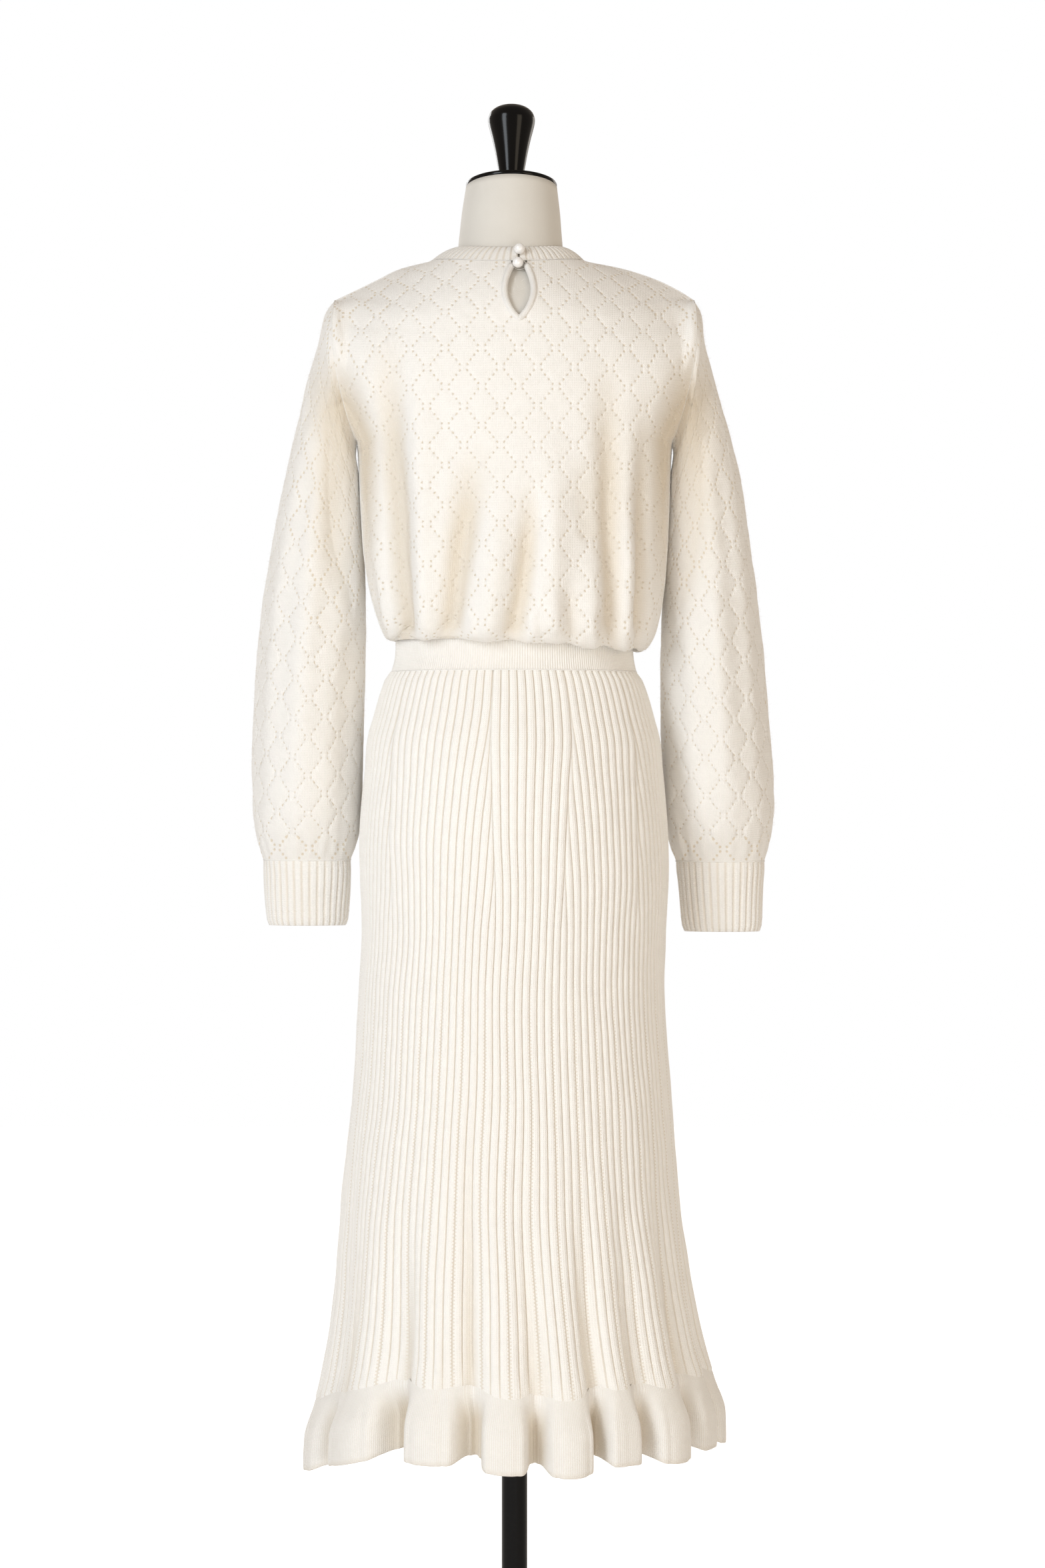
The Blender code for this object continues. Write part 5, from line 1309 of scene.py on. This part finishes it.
def make_sleeve(name, table, mirror, material):
    """A balloon sleeve with its folds, its gathers at the cuff and the pattern of eyelets."""
    columns, rows = SLEEVE_MESH
    angles = np.linspace(math.pi, -math.pi, columns)[None, :]
    shares = np.linspace(0.0, 1.0, rows)[:, None]
    points = sleeve_form(table, mirror, angles, shares)
    flat = flat_map(points, int(np.argmin(np.abs(angles[0] - math.pi / 2))))
    flat[..., 1] = flat[-1:, :, 1] - flat[..., 1]
    across, up = flat[..., 0], flat[..., 1]
    origin = np.array((SLEEVE_POINT[0] * mirror, SLEEVE_POINT[1]))
    gathers = 1.2 * np.cos(angles * 21 + 0.7 * np.sin(angles * 3)) * np.exp(-up / 18.0)
    ribs_above = 0.8 * np.cos(angles * CUFF_RIBS) * np.exp(-up / 5.0)
    inward = gathers * ease(up / 9.0) + ribs_above + UNEVENNESS * uneven(across, up, 3.0 + mirror)
    inward = inward + LATTICE_RELIEF * lattice_relief(flat, SLEEVE_LATTICE, origin)
    edge = ease(shares / 0.02) * ease((1 - shares) / 0.012)
    points = points - normals_of(points, True) * (inward * edge)[..., None]
    tucked = armpit_trough(points)
    # painted shade where the armpit trough pushes the sleeve in
    painted_hollow_shade = trough_painted_shade(points, tucked)
    tucked[:, -1] = tucked[:, 0]
    points = pierce(tucked, flat, eyelet_spots(flat, SLEEVE_LATTICE, origin), True, lambda point: True)
    return knit_sheet(name, points, flat - origin, True, material, painted_hollow_shade=painted_hollow_shade), points


def rolled_rows(points, thickness, rows_in):
    """Adds rows that turn the last row inwards and back up behind it, as a finished edge."""
    last, before = points[-1], points[-2]
    along = last - before
    along /= np.linalg.norm(along, axis=-1, keepdims=True)
    normal = normals_of(points, True)[-1]
    rows = [
        last + along * thickness * 0.25 - normal * thickness * 0.12,
        last + along * thickness * 0.35 - normal * thickness * 0.5,
        last + along * thickness * 0.25 - normal * thickness * 0.88,
        last - normal * thickness,
    ]
    rows += [last - normal * thickness - along * step for step in rows_in]
    return np.concatenate([points, np.array(rows)])


def make_cuff(name, sizes, mirror, material):
    """A ribbed cuff whose lower edge turns in."""
    (top_out, top_in, top_z), (low_out, low_in, low_z), (top_deep, low_deep), middle_y = sizes
    count = CUFF_RIBS * RIB_COLUMNS
    angle = np.linspace(math.pi, -math.pi, count + 1)[None, :]
    share = np.linspace(1.0, 0.0, 14)[:, None]
    waver = 0.5 * np.sin(share * 5.0 + angle * 2.0 + mirror)
    relief = CUFF_VALLEY * (np.abs(np.sin(angle * CUFF_RIBS / 2 + 0.12 * np.sin(share * 6.0))) ** 0.6 - 0.8)
    relief = (relief + 0.8) * ease((1.0 - share) / 0.14) + waver * ease((1.0 - share) / 0.2)
    relief = relief - 1.5 * ease(1 - share / 0.09)
    out_x = low_out + (top_out - low_out) * share
    in_x = low_in + (top_in - low_in) * share
    deep = low_deep + (top_deep - low_deep) * share
    half = (out_x - in_x) / 2
    x = (out_x + in_x) / 2 + (half + relief) * np.cos(angle)
    y = middle_y - (deep + relief) * np.sin(angle)
    points = stacked(mirror * x, y, low_z + (top_z - low_z) * share + 0 * angle)
    points[:, -1] = points[:, 0]
    points = rolled_rows(points, *CUFF_EDGE)
    points[:, -1] = points[:, 0]
    flat = flat_map(points, 0)
    flat[..., 0] = np.arange(count + 1) / RIB_COLUMNS
    return knit_sheet(name, points, flat, True, material)


def make_waistband(material):
    """The finely ribbed waistband."""
    count = WAISTBAND_RIBS * FINE_RIB_COLUMNS
    angle = np.linspace(-math.pi, math.pi, count + 1)[None, :]
    height = np.linspace(*WAISTBAND_REACH, 9)[:, None]
    relief = 0.32 * np.cos(angle * WAISTBAND_RIBS) + 0.5 * uneven(angle * 110.0, height, 5.0)
    x, y = oval(angle, *[size + relief for size in sizes_at(WAISTBAND_LEVELS, height)])
    points = stacked(x, y, height)
    points[:, -1] = points[:, 0]
    flat = flat_map(points, 0)
    flat[..., 0] = (np.arange(count + 1) - 2) / FINE_RIB_COLUMNS
    return knit_sheet("waistband_rib", points, flat, True, material)


def crease_depth(degrees, height):
    """How far the long creases push the skirt inwards."""
    total = 0.0
    for low_angle, high_angle, top, width, depth in SKIRT_CREASES:
        share = np.clip((height - SKIRT_FOOT) / (top - SKIRT_FOOT), 0.0, 1.0)
        away = turned_away(degrees, low_angle + (high_angle - low_angle) * share)
        total = total + depth * (1 - ease(share)) * np.exp(-((away / width) ** 2))
    return total


def rib_row(share, first, last, ribs):
    """One row of a skirt panel: angles, depths below the rib crests, and places counted in ribs."""
    edges, weights = rib_places(share, ribs)
    dotted = DOTTED_VALLEY + (1 - DOTTED_VALLEY) * float(ease((share - SKIRT_FINE_SHARE) / 0.2))
    rows = []
    for rib in range(first, last):
        fullness = float(ease(weights[rib]))
        low, high = (dotted if valley % 3 == 0 else 1.0 for valley in (rib, rib + 1))
        for phase in RIB_PHASES:
            swell = math.sin(math.pi * phase) ** 0.42 if phase else 0.0
            depth = SKIRT_VALLEY * (low * (1 - phase) + high * phase) * (1 - fullness * swell)
            rows.append((edges[rib] + (edges[rib + 1] - edges[rib]) * phase, depth, rib + phase))
    rows.append((edges[last], SKIRT_VALLEY, last))
    angles, depths, numbers = np.array(rows).T
    angles[0] += 0.001
    angles[-1] -= 0.001
    return angles, depths, numbers


def make_skirt(name, first, last, ribs, rows_down, material):
    """Back or front of the ribbed skirt, with its shaping lines and long creases."""
    upper = np.linspace(SKIRT_FINE_SHARE, 1, rows_down * 3 // 4)[1:]
    shares = np.concatenate([np.linspace(0, SKIRT_FINE_SHARE, rows_down), upper])
    table = np.array([rib_row(share, first, last, ribs) for share in shares])
    angles, relief, numbers = table[:, 0], table[:, 1], table[:, 2]
    degrees = np.degrees(angles)
    share = shares[:, None] + 0 * angles
    waver = 0.004 * np.sin(share * 23.0 + numbers * 0.37) * (1 - share) ** 0.5
    ends = ease((angles - angles[:, :1]) / 0.1) * ease((angles[:, -1:] - angles) / 0.1)
    points = skirt_form(angles + waver * ends, share)
    flat = np.stack([numbers, points[..., 2] - SEAM_HEIGHT], axis=-1)
    height = points[..., 2]
    creases = crease_depth(degrees, height)
    relief = relief * (0.12 + 0.88 * ease((height - height[:1] - 2.0) / 26.0))
    relief = relief + creases + SEAM_TUCK * ease((height[:1] + 4.0 - height) / 4.0)
    relief = relief + UNEVENNESS * uneven(degrees * 2.4, height, 7.0) * ease((1 - share) / 0.1)
    relief = relief + WAIST_TUCK * ease((height - SKIRT_TOP + 3.0) / 3.0)
    points = points - normals_of(points, False) * relief[..., None]
    points[0, :, 2] = height[0]
    points[-1, :, 2] = SKIRT_TOP + 0.5
    # painted shade in the long creases, by their depth
    return knit_sheet(name, points, flat, False, material, painted_hollow_shade=0.8 * np.clip(creases / 4.0, 0.0, 1.0))


def make_flounce(material):
    """The hem flounce: broad lobes that lean over narrow troughs, its lower edge turned in."""
    angles = np.linspace(-math.pi / 2, 1.5 * math.pi, FLOUNCE_COLUMNS + 1)[None, :]
    share = np.concatenate([(-0.05, -0.02), np.linspace(0.0, 1.0, 26)])[:, None]
    waves, phase = wave(np.degrees(angles))
    crisp = np.sin(math.pi / 2 * np.sin(math.pi / 2 * np.clip(waves, -1, 1)))
    crisp = crisp * np.maximum(np.abs(waves), 0.8)
    hem_middle = hem_height(angles)
    seam = seam_height(angles)
    hem = hem_middle - LOBE_DROP * crisp
    height = seam + (hem - seam) * share
    sizes = sizes_at(SKIRT_LEVELS, hem_middle + FLOUNCE_HEIGHT + 0 * share)
    down = np.clip(share, 0.0, 1.0)
    flare = HEM_FLARE * down + FLOUNCE_BELLY * np.sin(math.pi * down) ** 0.7
    flare = flare - 1.5 * ease((0.005 - share) / 0.05)
    rise = ease(down / 0.55)
    reach = np.where(waves > 0, HEM_WAVE, TROUGH_WAVE)
    swing = SEAM_WAVE * waves * (1 - rise) + reach * crisp * rise
    swing = swing - crease_depth(np.degrees(angles), SKIRT_FOOT + 1.0 + 0 * height) * ease(1 - down / 0.6)
    ruffle = 0.9 * uneven(np.degrees(angles) * 3.4, height, 9.0) * down
    lean = FLOUNCE_LEAN * np.sin(2 * math.pi * phase) * rise
    x, y = oval(angles + lean, *[size + flare + swing + ruffle for size in sizes])
    points = stacked(x, y, height)
    points[:, -1] = points[:, 0]
    points = rolled_rows(points, *FLOUNCE_EDGE)
    points[:, -1] = points[:, 0]
    seam_row = points[FLOUNCE_RIB_ROW:FLOUNCE_RIB_ROW + 1]
    flat = flat_map(points, 0)
    flat[..., 0] = flat_map(seam_row, FLOUNCE_COLUMNS // 2)[..., 0] / FINE_RIB
    # painted shade in the troughs between the lobes and along the turned hem
    painted_hollow_shade = np.clip(0.25 - crisp, 0.0, 1.2) * rise
    painted_hollow_shade = np.maximum(painted_hollow_shade, 0.55 * ease((down - 0.93) / 0.05))
    painted_hollow_shade = np.concatenate([painted_hollow_shade, np.repeat(painted_hollow_shade[-1:], len(points) - len(painted_hollow_shade), axis=0)])
    return knit_sheet("flounce_rib", points, flat, True, material, painted_hollow_shade=painted_hollow_shade)


def make_neckband(material):
    """The ribbed neckband, its ends meeting above the keyhole and its top edge turned in."""
    count = NECKBAND_RIBS * RIB_COLUMNS
    meeting = neck_angle(KEYHOLE_X)
    angles = np.linspace(meeting + NECKBAND_SLIT, meeting + 2 * math.pi - NECKBAND_SLIT, count + 1)[None, :]
    shares = np.linspace(0.0, 1.0, 11)[:, None]
    points = neckband_form(angles + 0 * shares, shares + 0 * angles)
    step = np.linspace(0.0, math.pi * NECKBAND_RIBS, count + 1)[None, :]
    relief = 1.2 * (1 - np.abs(np.sin(step)) ** 0.6) * ease(shares / 0.12 + 0.2) - 0.2
    normal = normals_of(points, False)
    points = points - normal * relief[..., None]
    edge = points[-1] + (points[-1] - points[-2]) * 0.1
    turned_in = ((0.7, 0.4), (1.5, 0.2), (2.1, -0.8))
    rows = [edge - normal[-1] * inward + (0, 0, rise) for inward, rise in turned_in]
    points = np.concatenate([points, np.array(rows)])
    flat = flat_map(points, 0)
    flat[..., 0] = np.arange(count + 1) / RIB_COLUMNS
    return knit_sheet("neckband_rib", points, flat, False, material)


def depth_at(points, x, z):
    """y of the back panel at x and z, from its nearest point."""
    gap = (points[..., 0] - x) ** 2 + (points[..., 2] - z) ** 2
    return points.reshape(-1, 3)[int(np.argmin(gap)), 1]


def make_keyhole_edge(back, material):
    """The rolled edge of the keyhole."""
    tip = KEYHOLE_EDGE[0, 0] + np.array((0.0, 0.5, 1.4))
    heights = np.concatenate([tip, np.linspace(KEYHOLE_EDGE[1, 0], KEYHOLE_EDGE[-1, 0], 22)])
    halves = level(KEYHOLE_EDGE, 1, heights)
    halves[0] = 0.0
    path = [(KEYHOLE_X + x, z) for x, z in zip(halves, heights)]
    path = [(2 * KEYHOLE_X - x, z) for x, z in reversed(path[1:])] + path
    line = np.array([(x, depth_at(back, x, z) + 0.6, z) for x, z in path])
    line[1:-1, 1] = (line[:-2, 1] + line[1:-1, 1] + line[2:, 1]) / 3
    return knit_cord("keyhole_rolled_edge", line, KEYHOLE_ROLL, 14, False, material)


# ---------------------------------------------------------------- seams and buttons


def make_seams(material):
    """Linked seams along the armholes, shoulders, sides, neck, cuffs and waist."""
    seams = []
    turn = np.linspace(0, 360, 90, endpoint=False)
    x, y, z = armhole(np.where(turn <= 180, turn, 360 - turn), np.where(turn <= 180, -1.0, 1.0))
    shoulder = np.linspace(SHOULDER_LINE[0, 0], 1.0, 26) + 1e-6
    up = np.linspace(14.0, 211.0, 60)
    for word, mirror in (("left", -1), ("right", 1)):
        side = body_level(np.full(len(up), float(mirror)), up, -1)
        seams += [
            ("armhole_seam_" + word, armpit_trough(stacked(mirror * (x - 0.2), y, z)), 0.45, 6, True),
            ("shoulder_seam_" + word, yoke_edge(shoulder, mirror, -1) - (0, 0, 0.2), 0.6, 6, False),
            ("side_seam_" + word, armpit_trough(side), 0.7, 8, False),
        ]
    turn = np.linspace(0, 2 * math.pi, 80, endpoint=False)
    for word, table, mirror in (("left", SLEEVE_LEFT, -1), ("right", SLEEVE_RIGHT, 1)):
        path = sleeve_form(table, mirror, turn, np.ones(len(turn))) - (0, 0, 0.2)
        seams.append(("cuff_seam_" + word, path, 0.7, 6, True))
    turn = np.linspace(0, 2 * math.pi, 120, endpoint=False)
    waist = WAISTBAND_REACH[0]
    x, y = oval(turn, *[size + 0.4 for size in sizes_at(WAISTBAND_LEVELS, np.array(waist))])
    seams.append(("skirt_waist_seam", stacked(x, y, waist + 0.2), 0.7, 6, True))
    meeting = neck_angle(KEYHOLE_X)
    turn = np.linspace(meeting + 0.03, meeting + 2 * math.pi - 0.03, 140)
    seams.append(("neck_seam", neck_ring(NECK_SEAM, turn) + (0, 0, 0.1), 0.5, 6, False))
    for name, path, radius, sides, closed in seams:
        knit_cord(name, path, radius, sides, closed, material)


def make_buttons(pearl, thread):
    """Two pearls, each in a loop of thread."""
    for name, x, height in PEARLS:
        line = neckband_form(np.full(60, neck_angle(x)), np.linspace(-0.2, 1.3, 60))
        front = float(np.interp(height, line[:, 2], line[:, 1]))
        centre = Vector((x, front - PEARL_RADIUS - PEARL_STANDOFF, height)) * MM
        shape = bmesh.new()
        bmesh.ops.create_uvsphere(shape, u_segments=40, v_segments=24, radius=PEARL_RADIUS * MM)
        bmesh.ops.translate(shape, verts=shape.verts, vec=centre)
        mesh = settled(shape, bpy.data.meshes.new(name + "_pearl"))
        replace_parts(finished(name + "_pearl", mesh, pearl), name)
        around = np.linspace(0, 2 * math.pi, 36, endpoint=False)
        aside, rise = np.cos(around), np.sin(around)
        loop = stacked(x + 1.6 + 6.2 * aside, front - 1.6 - 1.2 * rise, height - 1.6 + 4.4 * rise)
        knit_cord(name + "_thread_loop", loop, 0.42, 6, True, thread)


def make_form(material):
    """Torso and neck of the dress form, with flat plates at the arms."""
    across = np.linspace(-1, 1, 41)
    side_angle = math.radians(FORM_SIDE_ANGLE)
    plate = np.linspace(0, 1, 9)[1:-1]
    plate_angles = side_angle + (math.pi - 2 * side_angle) * plate
    angles = np.concatenate([
        across * side_angle, plate_angles, math.pi - across[::-1] * side_angle, math.pi + plate_angles,
    ])
    rings = []
    for height, middle_x, half, back, front in FORM_LEVELS:
        x, y = oval(angles, half - middle_x, half + middle_x, back, front)
        rings.append(stacked(x, y, height))
    for share, below in FORM_YOKE:
        halves = []
        for side in (-1, 1):
            depth = below + FORM_KEYHOLE_ROOM * np.cos(across * math.pi / 2) ** 2
            up = YOKE_LENGTH + YOKE_RUN * share + np.array((-0.5, 0.0, 0.5))[:, None]
            cloth = bodice_form(across[None, :] * FORM_EDGE, up, side)
            halves.append(cloth[1] - normals_of(cloth, False)[1] * depth[:, None])
        back, front = halves
        right = back[-1] + (front[-1] - back[-1]) * plate[:, None]
        left = front[0] + (back[0] - front[0]) * plate[:, None]
        rings.append(np.concatenate([back, right, front[::-1], left]))
    for share, below in FORM_NECK_BASE:
        near = share + np.array((-0.02, 0.0, 0.02))[:, None]
        band = neckband_form(angles[None, :] + 0 * near, near + 0 * angles)
        rings.append(band[1] - normals_of(band, False)[1] * below)
    start = NECKBAND_TOP[5]
    for height, middle_x, radius, middle_y in NECK_LEVELS:
        tilt = NECK_TILT * (height - start) / (NECK_LEVELS[-1][0] - start)
        x = middle_x + radius * np.sin(angles)
        y = middle_y - radius * np.cos(angles) * math.cos(tilt)
        rings.append(stacked(x, y, height + radius * np.cos(angles) * math.sin(tilt)))
    rings = np.array(rings)
    order = np.arange(len(rings), dtype=float)[:, None]
    table = np.concatenate([order, rings.reshape(len(rings), -1)], axis=1)
    at = np.linspace(0, len(rings) - 1, (len(rings) - 1) * 5 + 1)
    smooth = np.stack([level(table, column, at) for column in range(1, table.shape[1])], axis=-1)
    smooth = smooth.reshape(len(at), -1, 3)
    floor, top = (ring.mean(axis=1, keepdims=True) + 0 * ring for ring in (smooth[:1], smooth[-1:]))
    smooth = np.concatenate([floor, smooth, top])
    smooth = np.concatenate([smooth, smooth[:, :1]], axis=1)
    form = knit_sheet("form_body", smooth, flat_map(smooth, 0), True, material)
    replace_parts(form, "form_torso")
    return form


def make_stand(lacquer, base_lacquer):
    """Neck cap, collar, finial, pole and foot, turned and polished."""
    _, middle_x, _, middle_y = NECK_LEVELS[-1]
    on_neck = Matrix.Translation(Vector((middle_x, middle_y, NECK_LEVELS[-1][0])) * MM)
    on_neck = on_neck @ Matrix.Rotation(-NECK_TILT, 4, "X")
    edge = CAP_RADIUS
    cap = (
        (0.0, SEAM_GAP), (edge - 1.2, SEAM_GAP), (edge - 0.4, 0.6), (edge, 1.3), (edge, 3.2),
        (edge - 0.5, 4.1), (edge - 1.5, CAP_HEIGHT), (0.0, CAP_HEIGHT),
    )
    collar_base = CAP_HEIGHT + SEAM_GAP
    collar = [(radius, height + collar_base) for radius, height in rounded_profile(COLLAR_PROFILE, 4)]
    collar = [(0.0, collar_base)] + collar
    finial_base = collar_base + COLLAR_PROFILE[-1][1] + SEAM_GAP
    finial = [(radius, height + finial_base) for radius, height in rounded_profile(FINIAL_PROFILE, 5)]
    finial = [(0.0, finial_base)] + finial
    pole_top = FORM_LEVELS[0, 0] - SEAM_GAP
    pole_base = FOOT_PROFILE[-1][1] + SEAM_GAP
    pole = [(0.0, pole_base), (POLE_RADIUS, pole_base)]
    pole += [(POLE_RADIUS, height) for height in np.linspace(pole_base, pole_top, 30)[1:-1]]
    pole += [(POLE_RADIUS, pole_top), (0.0, pole_top)]
    stays = Matrix.Identity(4)
    for name, node, profile, place, finish in (
        ("cap_disc", "neck_cap", cap, on_neck, lacquer),
        ("finial_foot", "finial_collar", collar, on_neck, lacquer),
        ("finial_turning", "finial", finial, on_neck, lacquer),
        ("pole_tube", "pole", pole, stays, lacquer),
        ("foot_disc", "stand_base", FOOT_PROFILE, stays, base_lacquer),
    ):
        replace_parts(turned(name, profile, place, finish), node)


# ---------------------------------------------------------------- stage


def make_camera():
    """The photograph's view: level, from behind the dress."""
    lens = bpy.data.cameras.new("view")
    lens.lens = CAMERA_LENS
    lens.sensor_width = CAMERA_SENSOR
    lens.clip_start = 0.1
    lens.clip_end = 50.0
    camera = bpy.data.objects.new("view", lens)
    camera.location = CAMERA_PLACE
    camera.rotation_euler = (math.radians(90), 0.0, 0.0)
    bpy.context.scene.collection.objects.link(camera)
    bpy.context.scene.camera = camera


def make_lamp(name, place, target, size, power, colour):
    """A soft rectangular lamp aimed at a point."""
    lamp = bpy.data.lights.new(name, "AREA")
    lamp.shape = "RECTANGLE"
    lamp.size, lamp.size_y = size
    lamp.energy = power
    lamp.color = colour
    thing = bpy.data.objects.new(name, lamp)
    thing.location = place
    aim = Vector(target) - Vector(place)
    thing.rotation_euler = aim.to_track_quat("-Z", "Y").to_euler()
    bpy.context.scene.collection.objects.link(thing)


def make_floor():
    """A plain pale floor that looks white to the camera."""
    shape = bmesh.new()
    bmesh.ops.create_grid(shape, x_segments=2, y_segments=2, size=6.0)
    bmesh.ops.translate(shape, verts=shape.verts, vec=(0, 0, -0.0004))
    mesh = settled(shape, bpy.data.meshes.new("floor"))
    finish = Finish("pale_floor", {
        "Base Color": (0.92, 0.92, 0.92, 1.0), "Roughness": 0.8, "Emission Color": (1.0, 1.0, 1.0, 1.0),
    })
    sight = finish.tree.nodes.new("ShaderNodeLightPath")
    glow = finish.number(sight.outputs["Is Camera Ray"]) * FLOOR_GLOW
    finish.feed(glow.socket, "Emission Strength")
    mesh.materials.append(finish.material)
    floor = bpy.data.objects.new("floor", mesh)
    bpy.context.scene.collection.objects.link(floor)


def make_surround():
    """White to the camera, and a weaker warm light on the dress."""
    world = bpy.data.worlds.new("white_surround")
    bpy.context.scene.world = world
    world.use_nodes = True
    nodes, links = world.node_tree.nodes, world.node_tree.links
    light = nodes["Background"]
    light.inputs["Color"].default_value = (*SURROUND_LIGHT, 1.0)
    light.inputs["Strength"].default_value = SURROUND_POWER
    seen = nodes.new("ShaderNodeBackground")
    seen.inputs["Color"].default_value = (1.0, 1.0, 1.0, 1.0)
    path = nodes.new("ShaderNodeLightPath")
    mix = nodes.new("ShaderNodeMixShader")
    links.new(path.outputs["Is Camera Ray"], mix.inputs[0])
    links.new(light.outputs[0], mix.inputs[1])
    links.new(seen.outputs[0], mix.inputs[2])
    links.new(mix.outputs[0], nodes["World Output"].inputs[0])


def main():
    """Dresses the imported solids."""
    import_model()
    make_camera()
    bpy.context.scene.view_settings.view_transform = "Standard"
    make_floor()
    make_surround()
    for lamp in LAMPS:
        make_lamp(*lamp)

    mohair = knit_finish("mohair_lace", (1.76, 2.33), 0.7, 0.4, 0.32, lattice=BODICE_LATTICE, tone=0.985)
    sleeve_mohair = knit_finish(
        "mohair_sleeve_lace", (1.65, 2.35), 0.7, 0.4, 0.32, lattice=SLEEVE_LATTICE, tone=0.96,
    )
    skirt_rib = knit_finish("skirt_rib", (0.25, 1.7), 0.4, 0.2, dots=True, valley=(0.15, 0.6), tone=1.06)
    fine_rib = knit_finish("fine_rib", (1.0, 1.6), 0.6, 0.25, 0.4, valley=(0.32, 0.28))
    band_rib = knit_finish("band_rib", (0.5, 1.8), 0.7, 0.3, valley=(0.3, 0.48), tone=0.975)
    cord_knit = knit_finish("cord_knit", (1.4, 1.8), 0.4, 0.3)

    back, back_points = make_bodice("bodice_back_knit", -1, BACK_MESH, BACK_FOLDS, mohair)
    front, front_points = make_bodice("bodice_front_knit", 1, FRONT_MESH, FRONT_FOLDS, mohair)
    sleeve_left, left_points = make_sleeve("sleeve_left_knit", SLEEVE_LEFT, -1, sleeve_mohair)
    sleeve_right, right_points = make_sleeve("sleeve_right_knit", SLEEVE_RIGHT, 1, sleeve_mohair)
    cuff_left = make_cuff("cuff_left_rib", CUFF_LEFT, -1, band_rib)
    cuff_right = make_cuff("cuff_right_rib", CUFF_RIGHT, 1, band_rib)
    band = make_waistband(fine_rib)
    ribs = skirt_ribs()
    back_count = sum(1 for number, _ in ribs if number < SIDE_RIB)
    skirt_back = make_skirt("skirt_back_rib", 0, back_count, ribs, BACK_SKIRT_ROWS, skirt_rib)
    skirt_front = make_skirt("skirt_front_rib", back_count, len(ribs), ribs, FRONT_SKIRT_ROWS, skirt_rib)
    flounce = make_flounce(fine_rib)
    neckband = make_neckband(band_rib)
    keyhole_edge = make_keyhole_edge(back_points, cord_knit)
    make_seams(cord_knit)
    hairy = (
        (back_points, False, 0.3), (front_points, False, 0.14), (left_points, True, 0.28),
        (right_points, True, 0.28),
    )
    mohair_halo("mohair_halo_fibres", hairy, HALO_FIBRES, fibre_finish())
    make_buttons(pearl_finish(), cord_knit)
    make_form(form_finish())
    make_stand(
        lacquer_finish("black_lacquer", (0.0012, 0.0011, 0.0012), 0.1),
        lacquer_finish("black_foot_enamel", (0.006, 0.006, 0.007), 0.2),
    )

    # Piece, its node, flat size and area in metres, how it is held and by what
    for piece, node, flat, area, held, rests in (
        (back, "bodice_back", (0.46, 0.40), 0.16, "draped", "form_body"),
        (front, "bodice_front", (0.48, 0.38), 0.165, "draped", "form_body"),
        (sleeve_left, "sleeve_left", (0.40, 0.58), 0.17, "hung", "bodice_back_knit"),
        (sleeve_right, "sleeve_right", (0.40, 0.58), 0.17, "hung", "bodice_back_knit"),
        (cuff_left, "cuff_left", (0.22, 0.066), None, "hung", "sleeve_left_knit"),
        (cuff_right, "cuff_right", (0.22, 0.070), None, "hung", "sleeve_right_knit"),
        (band, "waistband", (0.66, 0.033), None, "stretched", "form_body"),
        (skirt_back, "skirt_back", (0.62, 0.70), 0.40, "hung", "waistband_rib"),
        (skirt_front, "skirt_front", (0.62, 0.70), 0.40, "hung", "waistband_rib"),
        (flounce, "flounce", (1.70, 0.072), None, "hung", "skirt_back_rib"),
        (neckband, "neckband", (0.44, 0.024), None, "stretched", "form_body"),
    ):
        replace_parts(piece, node)
    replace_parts(keyhole_edge, "keyhole_edging")


main()
